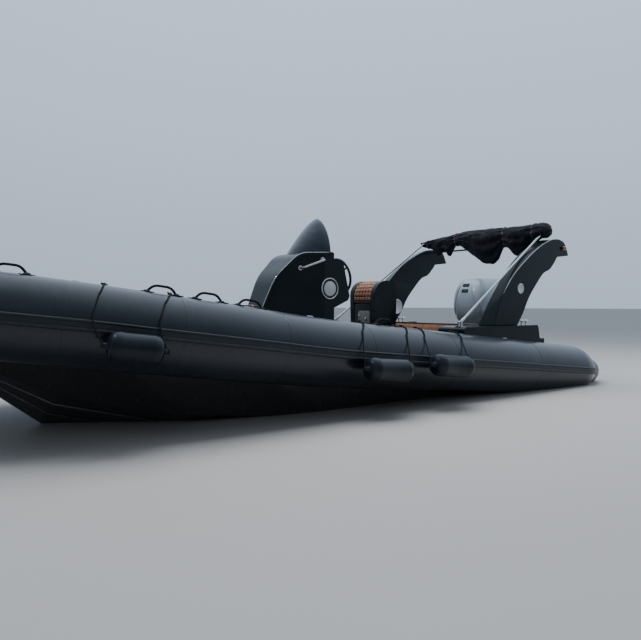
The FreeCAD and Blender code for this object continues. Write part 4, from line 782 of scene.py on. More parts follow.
# A bright stainless bead along each leg's front and top edge stands in for the highlight there: a painted
# highlight.
EDGE_HIGHLIGHT_FOOT_Z, EDGE_HIGHLIGHT_TIP_X = 1.02, -0.34
edge_highlights = []
for side in SIDES:
    edge = [Vector((row.y + 0.002, side * (LEG_OUT_Y - 0.001), row.z)) for row in front_rows
            if row.z > EDGE_HIGHLIGHT_FOOT_Z and row.y > EDGE_HIGHLIGHT_TIP_X]
    edge_highlights.append(bar(edge, 0.0045, swell=tapered(0.2, 8.0)))
settle(join(edge_highlights), "arch_edge_highlights", "hull", "stainless_tube")
OUTER_DISC = ((-0.002, 0.056), (0.003, 0.056), (0.0045, 0.053), (0.0045, 0.048), (0.0035, 0.046))
INNER_DISC = ((-0.002, 0.098), (0.003, 0.098), (0.0045, 0.094), (0.0045, 0.088), (0.0035, 0.086))
OUTER_X, OUTER_Z, INNER_X, INNER_Z = 0.445, 1.092, 0.480, 0.889
discs = [turned(OUTER_DISC, (OUTER_X, side * LEG_OUT_Y, OUTER_Z), (0.0, side, 0.0), 48) for side in SIDES]
discs += [turned(INNER_DISC, (INNER_X, side * LEG_IN_Y, INNER_Z), (0.0, -side, 0.0), 56) for side in SIDES]
settle(join(discs), "arch_discs", "hull", "gloss_black_moulding", finish=pale_disc)
BAR_X, BAR_Z = -0.320, 1.645
FLANGE = ((0.0, 0.030), (0.005, 0.029), (0.008, 0.019), (0.022, 0.017))
crossbar = [bar([Vector((BAR_X, y, BAR_Z)) for y in (-LEG_IN_Y, 0.0, LEG_IN_Y)], 0.012, fine=6)]
crossbar += [turned(FLANGE, (BAR_X, side * LEG_IN_Y, BAR_Z), (0.0, -side, 0.0)) for side in SIDES]
crossbar = settle(join(crossbar), "arch_crossbar_tube", "hull", SLOT_OF["arch_crossbar"])
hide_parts("arch_crossbar")

# %% [markdown]
# ## The collar, as fabric holds it
# The real collar is welded from panels of coated fabric and blown up, so it is
# smooth, with a flat tape over every seam and a slight waist at it. The skin
# follows the tube's axis: straight at the stern, rising at the shoulder, and
# closing round the bow. Each ring of the skin is a circle square to that axis,
# and the last ones narrow to the cones that a boat trails behind its transom.

# %% The tube's axis
TUBE_R, TUBE_Y, STERN_X = 0.280, 1.100, -0.680
AXIS_Z, AFT_SLOPE, BREAK_X, BOW_SLOPE = 0.195, 0.0988, 3.300, 0.138
SHOULDER, CHEEK, BROW, NOSE_X = (4.350, 1.100), (5.450, 0.940), (6.100, 0.520), 6.360
TANGENTS = (0.350, 0.400, 0.330, 0.300, 0.250)


def axis_z(x):
    return AXIS_Z + AFT_SLOPE * min(x, BREAK_X) + BOW_SLOPE * max(0.0, x - BREAK_X)


def on_axis(x, y):
    return Vector((x, y, axis_z(x)))


port_corners = [on_axis(STERN_X, TUBE_Y), on_axis(BREAK_X, TUBE_Y), on_axis(*SHOULDER), on_axis(*CHEEK),
                on_axis(*BROW), on_axis(NOSE_X, 0.0)]
starboard_corners = [Vector((c.x, -c.y, c.z)) for c in port_corners[-2::-1]]
AXIS = rounded_path(port_corners + starboard_corners, TANGENTS + TANGENTS[-2::-1], 0.04)


def frames(points):
    """Point, forward, outward and upward directions along a path that goes round the bow."""
    rows = []
    for index, point in enumerate(points):
        along = (points[min(index + 1, len(points) - 1)] - points[max(index - 1, 0)]).normalized()
        out = Vector((0, 0, 1)).cross(along).normalized()
        rows.append((point, along, out, along.cross(out)))
    return rows


AXIS_FRAMES = frames(AXIS)
DISTANCE = distances(AXIS)
print("tube axis: %.2f m in %d rings" % (DISTANCE[-1], len(AXIS)))

# %% Rings of the collar's skin, with its seams
SEAM_TAPE, TAPE_RISE = 0.05, 0.0016
WAIST, WAIST_LENGTH = 0.0025, 0.14
STERN_DOME = 0.160
STERN_CONE = ((0.0, 0.160), (0.17, 0.236), (0.27, 0.268), (0.36, 0.280))
RING = 96
SEAMS = [1.25, 2.58, 3.62, 4.48, 5.28, 6.05, 6.80, 7.50]
SEAMS = SEAMS + [DISTANCE[-1] - place for place in SEAMS]


def ring(frame_here, radius, ripple=0.0):
    point, along, out, up = frame_here
    row = []
    for angle in turns(RING):
        way = out * math.cos(angle) + up * math.sin(angle)
        soft = ripple * noise.noise((point + way * TUBE_R) * 1.7)
        row.append(point + way * (radius + soft))
    return row


def dome_rings(frame_here, sign, steps=10):
    """Blunt end of a tube, from its rim to its middle."""
    point, along, out, up = frame_here
    rings = []
    for index in range(1, steps + 1):
        turn = math.pi / 2.0 * index / steps
        radius = STERN_CONE[0][1] * (0.40 + 0.60 * math.cos(turn) ** 0.9)
        rings.append(ring((point + along * (sign * STERN_DOME * math.sin(turn)), along, out, up), radius))
    for share in (0.36, 0.2, 0.02):
        rings.append(ring((point + along * (sign * STERN_DOME), along, out, up), STERN_CONE[0][1] * share))
    return rings


def cone_radius(distance):
    """The tube's radius, which narrows to a cone at each stern end."""
    return between(STERN_CONE, min(distance, DISTANCE[-1] - distance))


def collar_radius(distance):
    near = min(abs(distance - seam) for seam in SEAMS)
    tape = TAPE_RISE if near < SEAM_TAPE / 2.0 else 0.0
    return cone_radius(distance) + tape - WAIST * bell(near, WAIST_LENGTH)


def skin_distances():
    """A ring every few centimetres, and a pair at each edge of every tape."""
    places = [value for value in DISTANCE if min(abs(value - seam) for seam in SEAMS) > 0.04]
    for seam in SEAMS:
        for edge_at in (-SEAM_TAPE / 2.0, SEAM_TAPE / 2.0):
            places += [seam + edge_at - 0.0006, seam + edge_at + 0.0006]
    return sorted(places)


def frame_at(distance):
    for index, (low, high) in enumerate(zip(DISTANCE, DISTANCE[1:])):
        if distance <= high:
            t = (distance - low) / (high - low)
            a, b = AXIS_FRAMES[index], AXIS_FRAMES[index + 1]
            return tuple(u.lerp(v, t) if k == 0 else u.lerp(v, t).normalized()
                         for k, (u, v) in enumerate(zip(a, b)))
    return AXIS_FRAMES[-1]


# %% The collar: its skin in one piece
rows = [ring(frame_at(place), collar_radius(place), 0.003) for place in skin_distances()]
rows = dome_rings(AXIS_FRAMES[0], -1.0)[::-1] + rows + dome_rings(AXIS_FRAMES[-1], 1.0)
collar = skin("collar_skin", rows, wrap=True)
edit(collar)
bpy.ops.mesh.remove_doubles(threshold=0.00005)
face_outward()
settle(collar, "collar_skin", "hull", "collar_rubber", 40.0)
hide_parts("collar_port_aft", "collar_port_forward", "collar_nose", "collar_starboard_forward",
            "collar_starboard_aft")
print("collar skin:", len(collar.data.polygons), "faces,", len(SEAMS), "seams")

# %% [markdown]
# ## The rubbing strake
# A strake is one long rubber moulding, glued along the widest line of the tube.
# Its section has a flat band between two beads, the lower one fatter, because
# that edge takes the knocks. So the section is drawn once and carried along the
# axis, as the extruder that made it would have done.

# %% Strake: one section carried along the axis
STRAKE_SECTION = ((-0.004, -0.034), (0.010, -0.037), (0.018, -0.035), (0.024, -0.029), (0.025, -0.022),
                  (0.021, -0.016), (0.015, -0.013), (0.014, 0.020), (0.018, 0.023), (0.021, 0.028),
                  (0.019, 0.034), (0.013, 0.038), (-0.004, 0.039))
STRAKE_LIFT = 0.006
rows = [[point + out * (cone_radius(place) + reach) + up * (rise + STRAKE_LIFT)
         for reach, rise in STRAKE_SECTION] for place, (point, along, out, up) in zip(DISTANCE, AXIS_FRAMES)]
strake = skin("strake_band", rows, wrap=True)
edit(strake)
bpy.ops.mesh.select_non_manifold()
bpy.ops.mesh.edge_face_add()
face_outward()
settle(strake, "strake_band", "hull", "strake_rubber", 50.0)
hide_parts("strake_port", "strake_nose", "strake_starboard")

# %% [markdown]
# ## Grab loops
# Each loop is a stiff rope handle whose ends run into round patches, which are
# glued to the crown of the tube. One loop is made at the origin with its feet on
# the floor, and copies of it stand along the tube, each turned with the tube's
# own directions at that place.


# %% Grab loops: one pattern, ten copies
def collar_at(x, side=1.0):
    """Axis point, forward, outward and upward directions where the tube passes a station."""
    half = AXIS_FRAMES[:len(AXIS_FRAMES) // 2 + 1]
    for here, there in zip(half, half[1:]):
        if x <= there[0].x:
            break
    t = (x - here[0].x) / (there[0].x - here[0].x)
    frame_here = [a.lerp(b, t) for a, b in zip(here, there)]
    return [Vector((v.x, v.y * side, v.z)) for v in frame_here]


def on_crown(x, side):
    """Placement with X along the tube and Z standing on its crown."""
    point, along, out, up = collar_at(x, side)
    turn = Matrix((along.normalized(), up.cross(along).normalized(), up.normalized())).transposed()
    return Matrix.Translation(point + up * TUBE_R) @ turn.to_4x4()


LOOP_X = (5.610, 4.700, 4.360, 4.020, 2.630)
LOOP_LINE = ((-0.112, 0.0, -0.006), (-0.060, 0.0, 0.050), (0.060, 0.0, 0.050), (0.112, 0.0, -0.006))
PATCH_STEPS = ((-0.010, 0.052), (0.0015, 0.052), (0.003, 0.047), (0.003, 0.026), (0.010, 0.018), (0.013, 0.013))
handle = bar(rounded_path(LOOP_LINE, (0.032, 0.032), 0.006), 0.009)
pattern = join([handle] + [turned(PATCH_STEPS, (end, 0.0, 0.0)) for end in (-0.104, 0.104)])
loops = join([copy_of(pattern, on_crown(x, side)) for x in LOOP_X for side in SIDES])
forget(pattern)
settle(loops, "grab_handles", "hull", "black_rope", 50.0)
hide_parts("grab_loops")
print("grab loops:", len(loops.data.polygons), "faces")

# %% [markdown]
# ## Fenders and their lines
# An air fender is a vinyl float with a thick neck and an eye at each end. Its
# profile is turned, with shallow rings where the real one is moulded thicker.
# Two lines hold it: each is tied off on the crown, runs tight round the side of
# the tube, clears the strake's bead and ends at the fender's eye. A knot is a
# rope's own line, closed on itself as a trefoil.

# %% Fenders: a turned float with an eye at each end
STRAKE_REACH, STRAKE_HALF, FENDER_R = 0.026, 0.031, 0.096
# Each one's middle, length, drop below the tube's axis, and where its lines start on the crown.
FENDERS = ((4.915, 0.420, 0.100, (4.630, 5.070)), (2.895, 0.540, 0.095, (2.380, 2.880)),
           (2.160, 0.540, 0.030, (1.690, 2.190)))


def fender_out(drop):
    """How far out a fender's axis is, where it rests on the strake."""
    below = max(0.0, drop - STRAKE_HALF)
    return TUBE_R + STRAKE_REACH + 0.002 + math.sqrt(FENDER_R ** 2 - below ** 2)


def fender(x, length, drop):
    point, along, out, up = collar_at(x)
    half = length / 2.0
    body = half - 0.036
    side = [(half - 0.012, 0.0125), (half - 0.018, 0.018), (body + 0.006, 0.019), (body, 0.026),
            (body - 0.003, 0.046), (body - 0.010, 0.066), (body - 0.024, 0.083), (body - 0.042, 0.092),
            (body - 0.060, 0.0945), (body - 0.066, 0.0960), (body - 0.078, 0.0960), (body - 0.084, 0.0945)]
    steps = [(-reach, radius) for reach, radius in side] + side[::-1]
    middle = point + out * fender_out(drop) - up * drop
    parts = [turned(steps, middle, along, 56)]
    for end in (-1.0, 1.0):
        centre = middle + along * end * (half - 0.014)
        eye = [centre + along * 0.0105 * math.cos(a) + up * 0.0125 * math.sin(a) for a in turns(20)]
        parts.append(bar(eye, 0.0045, closed=True, fine=2))
    return join(parts)


fenders = join([fender(x, length, drop) for x, length, drop, _ in FENDERS])
settle(fenders, "air_fenders", "hull", "fender_vinyl", 40.0)
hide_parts("fenders")


# %% Fender lines: tied on the crown, tight round the tube, into the eye
ROPE_R, KNOT_R, LOW_DROP = 0.0062, 0.0055, 0.05
TAIL_STEPS = ((0.0, 0.0, 0.0), (-0.03, -0.03, 0.004), (-0.055, -0.075, -0.008))


def fender_line(crown_x, eye, drop):
    """Points from the tube's crown to a fender's eye; a low fender's line clears the strake's bead."""
    places = []
    start, leave = 100.0, 44.0 if drop > LOW_DROP else 40.0
    for share in (index / 8.0 for index in range(9)):
        angle = math.radians(start + (leave - start) * share)
        point, along, out, up = collar_at(crown_x + (eye.x - crown_x) * (0.62 * share ** 1.3))
        places.append(point + (out * math.cos(angle) + up * math.sin(angle)) * (TUBE_R + 0.0065))
    if drop > LOW_DROP:
        point, along, out, up = collar_at(crown_x + (eye.x - crown_x) * 0.86)
        places.append(point + out * (TUBE_R + 0.031) + up * 0.046)
    places.append(eye)
    return smooth_line(places, 0.004)


def knot(place, size, turn):
    """A small overhand knot."""
    line = []
    for a in turns(60):
        flat = Vector((math.sin(a) + 2.0 * math.sin(2.0 * a), math.cos(a) - 2.0 * math.cos(2.0 * a),
                       -math.sin(3.0 * a))) * (size / 3.0)
        line.append(place + Matrix.Rotation(turn, 3, (0.3, 0.5, 0.8)) @ flat)
    return bar(line, KNOT_R, closed=True, fine=2)


lines, knots, runs = [], [], []
for x, length, drop, crowns in FENDERS:
    point, along, out, up = collar_at(x)
    middle = point + out * fender_out(drop) - up * drop
    for end, crown_x in zip((-1.0, 1.0), crowns):
        eye = middle + along * end * (length / 2.0 - 0.010)
        line = fender_line(crown_x, eye, drop)
        runs.append(round(distances(line)[-1], 2))
        knots += [knot(line[0] + Vector((0.0, 0.0, 0.004)), 0.017, crown_x),
                  knot(eye, 0.013, crown_x * 2.0)]
        tail = [line[0] + Vector(step) for step in TAIL_STEPS]
        lines += [rope(line, ROPE_R), rope(smooth_line(tail, 0.004), ROPE_R)]
fender_rope = join(lines + knots)
settle(fender_rope, "fender_ropes", "hull", "black_rope", 60.0)
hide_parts("fender_lines")
print("fender lines, m:", runs)

# %% [markdown]
# ## The engine's cowl
# The cowl is one moulding: it swells from its lower lip, leans a little aft and
# closes in a narrow crown. Rings of rounded sections at a few heights give that
# form, and a subdivision surface rounds it. Two air slots are then laid on its
# front, a ridge beside each corner of the front, and a dark lip round its foot.

# %% Cowl: rings from the lip to the crown
COWL_RINGS = ((0.660, -0.470, 0.090, 0.165), (0.690, -0.515, 0.124, 0.202), (0.770, -0.572, 0.165, 0.244),
              (0.880, -0.594, 0.186, 0.266), (0.980, -0.598, 0.188, 0.264), (1.070, -0.590, 0.178, 0.246),
              (1.150, -0.566, 0.150, 0.214), (1.215, -0.528, 0.106, 0.172), (1.250, -0.480, 0.056, 0.128),
              (1.259, -0.420, 0.010, 0.080))
COWL_RING, COWL_SQUARE = 64, 3.8


def cowl_ring(z, aft, front, half):
    middle, reach = (aft + front) / 2.0, (front - aft) / 2.0
    row = []
    for angle in turns(COWL_RING):
        c, d = math.cos(angle), math.sin(angle)
        x = middle + reach * math.copysign(abs(c) ** (2.0 / COWL_SQUARE), c)
        y = half * math.copysign(abs(d) ** (2.0 / COWL_SQUARE), d)
        row.append(Vector((x, y, z)))
    return row


cowl = skin("cowl", [cowl_ring(*row) for row in COWL_RINGS], wrap=True)
edit(cowl)
bpy.ops.mesh.select_mode(type="EDGE")
bpy.ops.mesh.select_all(action="DESELECT")
bpy.ops.mesh.select_non_manifold()
bpy.ops.mesh.edge_face_add()
face_outward()
modify(cowl, "SUBSURF", levels=2, render_levels=2)
settle(cowl, "engine_cowl_shell", "engine", "cowl_silver", 50.0)
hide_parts("engine_cowl")
print("cowl:", len(cowl.data.polygons), "faces")


# %% Cowl: front vents, two ridges and the lip at its foot
def cowl_front(z, y):
    """Where the front of the cowl is at a height and a distance from the middle."""
    aft, ahead, half = [between([(row[0], row[column]) for row in COWL_RINGS], z) for column in (1, 2, 3)]
    square = max(0.0, 1.0 - min(1.0, abs(y) / half) ** COWL_SQUARE) ** (1.0 / COWL_SQUARE)
    return (aft + ahead) / 2.0 + (ahead - aft) / 2.0 * square


VENT_Y, VENT_HEIGHTS = 0.052, ((1.066, 1.108), (1.138, 1.176))
vents = []
for low, high in VENT_HEIGHTS:
    outline = facing_loop((-VENT_Y, low), (VENT_Y, high), 0.010, 0.0, steps=4)
    near = [Vector((cowl_front(z, y) - 0.016, y, z)) for _, y, z in outline]
    far = [Vector((cowl_front(z, y) + 0.0015, y * 0.97, z)) for _, y, z in outline]
    vents.append(plate(near, far, 0.002))
settle(join(vents), "cowl_vents", "engine", "control_plastic")
RIDGE = ((0.730, 0.172), (0.860, 0.160), (1.000, 0.132), (1.120, 0.096), (1.205, 0.062))
ridges = []
for side in SIDES:
    line = smooth_line([(cowl_front(z, y) - 0.004, side * y, z) for z, y in RIDGE], 0.02)
    ridges.append(bar(line, 0.009, swell=tapered(0.15, 6.0)))
settle(join(ridges), "cowl_ridges", "engine", "cowl_silver", 60.0)
LIP_Z = 0.668
lip = [Vector((place.x * 1.004 - 0.0008, place.y * 1.004, LIP_Z))
       for place in cowl_ring(LIP_Z, -0.484, 0.100, 0.176)]
settle(bar(lip, 0.006, closed=True), "cowl_lip", "engine", "control_plastic", 60.0)

# %% [markdown]
# ## The tinted hood
# The hood over the console is blown from one sheet of tinted plastic, so it has
# a rounded crown and no corners. Seen from astern it is a tall arch, and seen
# from the side its front is nearly straight. Each level is half an oval.

# %% Hood: half ovals from the foot to the crown
SCREEN_LOW, SCREEN_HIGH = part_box("windscreen")
SCREEN_WALL, SCREEN_LEVELS, SCREEN_STEPS = 0.006, 28, 40


def hood_row(t):
    """Half oval at a share of the hood's height."""
    z = SCREEN_LOW.z - 0.010 + (SCREEN_HIGH.z - SCREEN_LOW.z + 0.010) * t
    half = (SCREEN_HIGH.y - 0.002) * max(0.0, 1.0 - t ** 1.95) ** 0.60
    left = max(0.0, 1.0 - t)
    reach = (SCREEN_HIGH.x - SCREEN_LOW.x + 0.01) * (0.84 * left ** 0.88 + 0.16 * left ** 0.5)
    row = []
    for index in range(SCREEN_STEPS + 1):
        angle = math.pi * index / SCREEN_STEPS - math.pi / 2.0
        ahead = reach * math.cos(angle) ** 0.92 if abs(math.cos(angle)) > 1e-6 else 0.0
        row.append(Vector((SCREEN_LOW.x + ahead, half * math.sin(angle), z)))
    return row


shares = [1.0 - (1.0 - index / SCREEN_LEVELS) ** 1.8 for index in range(SCREEN_LEVELS + 1)]
hood = skin("hood", [hood_row(min(0.9995, share)) for share in shares])
edit(hood)
bpy.ops.mesh.remove_doubles(threshold=0.0008)
face_outward()
modify(hood, "SOLIDIFY", thickness=SCREEN_WALL, offset=-1.0)
bevel(hood, 0.0012, 2)
settle(hood, "windscreen_hood", "hull", "tinted_screen", 40.0)
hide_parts("windscreen")

# %% [markdown]
# ## Cushions
# Every cushion is foam in a sewn cover. The cover is cut flat and pulled tight,
# so its faces are crowned and its sides draw in between the corners. A soft body
# gets this from a cloth simulation with a little air pressure. Seams and sewn
# channels are narrower than that mesh can hold, so they are pressed in after it.

# %% A block to make a cushion from
CLOTH_FRAMES, CLOTH_STIFFNESS = 16, 25.0


def block(low, high, grid):
    """A closed block with a fine grid, ready to be shaped."""
    drop_selection()
    size = Vector(high) - Vector(low)
    bpy.ops.mesh.primitive_cube_add(size=1.0, location=(Vector(high) + Vector(low)) / 2.0, scale=size)
    piece = bpy.context.object
    bpy.ops.object.transform_apply()
    for axis in range(3):
        count = max(2, round(size[axis] / grid))
        for cut in range(1, count):
            place, normal = Vector(), Vector()
            place[axis] = low[axis] + size[axis] * cut / count
            normal[axis] = 1.0
            edit(piece)
            bpy.ops.mesh.bisect(plane_co=place, plane_no=normal)
    bpy.ops.object.mode_set(mode="OBJECT")
    return piece


# %% A cover over the block, blown up and sewn
def inflate(piece, pressure, cap):
    """Blow a cover up a little, keeping each point within a cap of its start."""
    start = [vertex.co.copy() for vertex in piece.data.vertices]
    take(piece)
    cloth = piece.modifiers.new("cover", "CLOTH")
    cloth.settings.use_pressure = True
    cloth.settings.uniform_pressure_force = pressure
    cloth.settings.effector_weights.gravity = 0.0
    cloth.settings.tension_stiffness = CLOTH_STIFFNESS
    cloth.settings.compression_stiffness = CLOTH_STIFFNESS
    cloth.point_cache.frame_end = CLOTH_FRAMES
    for number in range(1, CLOTH_FRAMES + 1):
        bpy.context.scene.frame_set(number)
    bpy.ops.object.modifier_apply(modifier=cloth.name)
    bpy.context.scene.frame_set(1)
    for vertex, before in zip(piece.data.vertices, start):
        move = vertex.co - before
        if move.length > cap:
            vertex.co = before + move.normalized() * cap


def padded_block(low, high, grid, pressure, cap, depth_at):
    """A padded block; depth_at says how far each point is then pressed in, from its place and normal."""
    piece = block(low, high, grid)
    bevel(piece, 0.016)
    inflate(piece, pressure, cap)
    normals = [vertex.normal.copy() for vertex in piece.data.vertices]
    for vertex, normal in zip(piece.data.vertices, normals):
        vertex.co -= normal * depth_at(vertex.co, normal)
    return piece


# %% [markdown]
# ## Bench seat and backrest
# The stern bench has one long seat that lifts on hinges at its front, and a low
# back. Both covers have sewn channels that run fore and aft, about a hand wide,
# and a dark piping round the edge.

# %% Bench cushions
CHANNEL, CHANNEL_WIDTH, CHANNEL_DEPTH = 0.117, 0.006, 0.007
BENCH_Y = 0.692


def bench_cushion(node, name, body, low, high, face_axis):
    def depth_at(place, normal):
        near = abs((place.y / CHANNEL) % 1.0 - 0.5) * CHANNEL
        facing = max(0.0, normal[face_axis])
        return CHANNEL_DEPTH * bell(near, CHANNEL_WIDTH) * facing + 0.002 * noise.noise(place * 9.0)

    piece = padded_block(low, high, 0.018, 2.5, 0.008, depth_at)
    modify(piece, "SUBSURF", levels=1, render_levels=1)
    settle(piece, name, body, "tan_upholstery", 60.0)
    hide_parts(node)


def piping(name, corners, radius, body, cloth):
    """A round cord sewn along an edge."""
    return settle(bar(corners, radius, closed=True), name, body, "tan_upholstery", 60.0, cloth)


SEAT_LOW = (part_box("bench_seat")[0].x + 0.008, -BENCH_Y, 0.474)
SEAT_HIGH = (1.092, BENCH_Y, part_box("bench_seat")[1].z - 0.006)
bench_cushion("bench_seat", "bench_seat_cushion", "bench_lid", SEAT_LOW, SEAT_HIGH, 2)
BACK_LOW, BACK_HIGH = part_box("bench_backrest")
bench_cushion("bench_backrest", "bench_back_cushion", "hull",
              (BACK_LOW.x + 0.008, -BENCH_Y, BACK_LOW.z + 0.004),
              (BACK_HIGH.x - 0.008, BENCH_Y, BACK_HIGH.z - 0.008), 0)

# %% Bench: the seat's board with its half of each hinge, and the pipings
BOARD_Y, HINGE_Y = 0.697, 0.480
parts = [block((SEAT_LOW[0] - 0.006, -BOARD_Y, 0.4715), (1.0975, BOARD_Y, 0.483), 0.5)]
parts += [block((1.0968, y - 0.025, 0.464), (1.1003, y + 0.025, 0.508), 0.5) for y in (HINGE_Y, -HINGE_Y)]
for y in (HINGE_Y, -HINGE_Y):
    parts.append(bar([Vector((1.110, y + end, 0.461)) for end in (-0.0247, 0.0247)], 0.009, fine=5))
board = settle(join(parts), "bench_seat_board", "bench_lid", "gloss_black_moulding")
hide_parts("bench_seat")
dark_piping = dark_leather_cloth("dark_piping", (0.012, 0.010, 0.012))
PIPING_Y = 0.690
back_edge = facing_loop((-PIPING_Y, BACK_LOW.z + 0.01), (PIPING_Y, BACK_HIGH.z - 0.011), 0.03,
                        BACK_HIGH.x - 0.012)
piping("bench_back_piping", back_edge, 0.007, "hull", dark_piping)
seat_edge = rounded_loop(SEAT_LOW, SEAT_HIGH, 0.02, SEAT_HIGH[2] - 0.010)
piping("bench_seat_piping", seat_edge, 0.005, "bench_lid", dark_piping)

# %% [markdown]
# ## The pod's cushion
# The leaning pod has a quilted pad over its front and top, between two black
# cheeks. The quilting is a grid of small pillows, sewn in both directions.

# %% Pod cushion: a quilted pad bent over the pod
POD_LOW, POD_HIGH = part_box("pod_cushion")
PILLOW, PILLOW_RISE = 0.0465, 0.0075
PAD_FRONT_R, PAD_AFT_R, PAD_CLEAR = 0.156, 0.058, 0.004


def pad_crown(s, y):
    """How far the pad stands out: pillows on its face, drawn in at both cheeks."""
    edge = min(y - POD_LOW.y, POD_HIGH.y - y)
    u, v = [min(1.0, abs(math.sin(math.pi * place / PILLOW)) * 1.6) for place in (s, y)]
    rise = PILLOW_RISE * (u * v) ** 0.6 * min(1.0, edge / 0.02)
    return rise - 0.012 * max(0.0, 1.0 - edge / 0.014) ** 2


def pad_rows(across=72, along=110):
    """Points over the front, top and back of the pod."""
    low, front = POD_LOW.z + PAD_CLEAR, POD_HIGH.x - PAD_CLEAR
    top, aft = POD_HIGH.z - 0.008, POD_LOW.x + PAD_CLEAR
    front_arc, aft_arc = math.pi / 2.0 * PAD_FRONT_R, math.pi / 2.0 * PAD_AFT_R
    rise = top - PAD_FRONT_R - low
    run = front - PAD_FRONT_R - (aft + PAD_AFT_R)
    fall = top - PAD_AFT_R - low
    total = rise + front_arc + run + aft_arc + fall

    def outline(s):
        """Place and outward direction in the side view, from the foot in front to the foot aft."""
        if s < rise:
            return front, low + s, 1.0, 0.0
        s -= rise
        if s < front_arc:
            nx, nz = math.cos(s / PAD_FRONT_R), math.sin(s / PAD_FRONT_R)
            return front + PAD_FRONT_R * (nx - 1.0), top + PAD_FRONT_R * (nz - 1.0), nx, nz
        s -= front_arc
        if s < run:
            return front - PAD_FRONT_R - s, top, 0.0, 1.0
        s -= run
        if s < aft_arc:
            nx, nz = -math.sin(s / PAD_AFT_R), math.cos(s / PAD_AFT_R)
            return aft + PAD_AFT_R * (nx + 1.0), top + PAD_AFT_R * (nz - 1.0), nx, nz
        return aft, top - PAD_AFT_R - (s - aft_arc), -1.0, 0.0

    rows = []
    for s in (total * index / along for index in range(along + 1)):
        x, z, nx, nz = outline(s)
        row = []
        for step in range(across + 1):
            y = POD_LOW.y + PAD_CLEAR + (POD_HIGH.y - POD_LOW.y - 2.0 * PAD_CLEAR) * step / across
            crown = pad_crown(s, y)
            row.append(Vector((x + nx * crown, y, z + nz * crown)))
        rows.append(row)
    return rows


rows = pad_rows()
runs = distances([row[len(row) // 2] for row in rows])
pad = skin("pod_pad", rows, uv=[(place.y, run) for row, run in zip(rows, runs) for place in row])
modify(pad, "SOLIDIFY", thickness=0.05, offset=-1.0)
edit(pad)
face_outward()
settle(pad, "pod_pad", "hull", "tan_upholstery", 60.0, leather_cloth(PILLOW))
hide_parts("pod_cushion")

# %% Pod: the strip under the pad and the locker plate on its front
maroon = dark_leather_cloth("maroon_cloth", (0.030, 0.008, 0.010))
PANEL_Y = 0.139
strip = block((POD_HIGH.x - 0.030, -PANEL_Y, 0.930), (POD_HIGH.x - 0.002, PANEL_Y, 0.952), 0.03)
bevel(strip, 0.008)
settle(strip, "pod_strip", "hull", "tan_upholstery", finish=maroon)


def front_plate(low, high, inset, radius, depths, edge):
    """A rounded plate that faces forward, from one x to the next, a little smaller in front."""
    near, far = [facing_loop([value + shrink for value in low], [value - shrink for value in high], radius, x)
                 for x, shrink in zip(depths, (0.0, inset))]
    return plate(near, far, edge)


pod_front = front_plate((-PANEL_Y, 0.180), (PANEL_Y, 0.926), 0.002, 0.02, (1.838, 1.872), 0.006)
settle(pod_front, "pod_front_panel", "hull", "gloss_black_moulding")
hatch_paint = metal_paint("hatch_grey", (0.16, 0.16, 0.165), 0.4)
hatch = front_plate((-0.072, 0.690), (0.118, 0.848), 0.003, 0.028, (1.868, 1.880), 0.003)
settle(hatch, "pod_hatch", "hull", "gloss_black_moulding", finish=hatch_paint)
CATCHES = ((-0.045, 0.790, 0.014), (0.060, 0.760, 0.017))
catches = [turned(((0.0, radius), (0.004, radius), (0.006, radius * 0.8), (0.0065, radius * 0.3)),
                  (1.879, y, z), (1.0, 0.0, 0.0)) for y, z, radius in CATCHES]
settle(join(catches), "pod_catches", "hull", "stainless_tube")

# %% [markdown]
# ## The console's fittings
# A console is one gloss moulding, and small things tell its size: a round plate,
# a grab handle, gauges on the dash and a padded seat in front. A bright stainless
# bead along the edge of its side stands in for the highlight on that rounded edge:
# a painted highlight. Each is placed on the frame's own faces: the side runs
# straight to a station and then narrows towards the nose.


# %% Console: side, a bead as painted edge highlight, and round plates
CONSOLE_Y, NOSE_TAPER, TAPER_X = 0.262, 0.1973, 2.600


def console_side(x, inset=0.0):
    """How far out the console's side is at a station."""
    return CONSOLE_Y - inset - NOSE_TAPER * max(0.0, x - TAPER_X)


EDGE_LINE = ((2.500, 0.0, 1.432), (2.870, 0.0, 1.416), (3.122, 0.0, 1.177), (3.266, 0.0, 0.847),
             (3.287, 0.0, 0.660))
console_edge = rounded_path(EDGE_LINE, (0.088, 0.105, 0.05), 0.02)
# A bright stainless bead along the side's top and front edge stands in for the highlight on that rounded edge:
# a painted highlight.
for side, name in SIDES.items():
    line = [Vector((place.x, side * (console_side(place.x) - 0.002), place.z)) for place in console_edge]
    edge_highlight = bar(line, 0.0042, swell=tapered(0.2, 10.0))
    settle(edge_highlight, "console_edge_highlight_" + name, "hull", "stainless_tube", 60.0)
DISC_X, DISC_Y, DISC_Z, DISC_R = 2.534, 0.255, 1.073, 0.101
dark_discs, pale_rings = [], []
for side in SIDES:
    middle = (DISC_X, side * DISC_Y, DISC_Z)
    dark_discs.append(turned(((-0.002, 0.094), (0.0024, 0.094)), middle, (0.0, side, 0.0), 56))
    circle = [Vector((DISC_X + DISC_R * math.cos(a), side * (DISC_Y + 0.001), DISC_Z + DISC_R * math.sin(a)))
              for a in turns(64)]
    pale_rings.append(bar(circle, 0.0062, closed=True))
    pale_rings.append(turned(((-0.002, 0.074), (0.0030, 0.074), (0.0042, 0.070)), middle, (0.0, side, 0.0), 48))
settle(join(dark_discs), "console_disc_ground", "hull", "control_plastic")
settle(join(pale_rings), "console_disc", "hull", "gloss_black_moulding", 50.0, pale_disc)

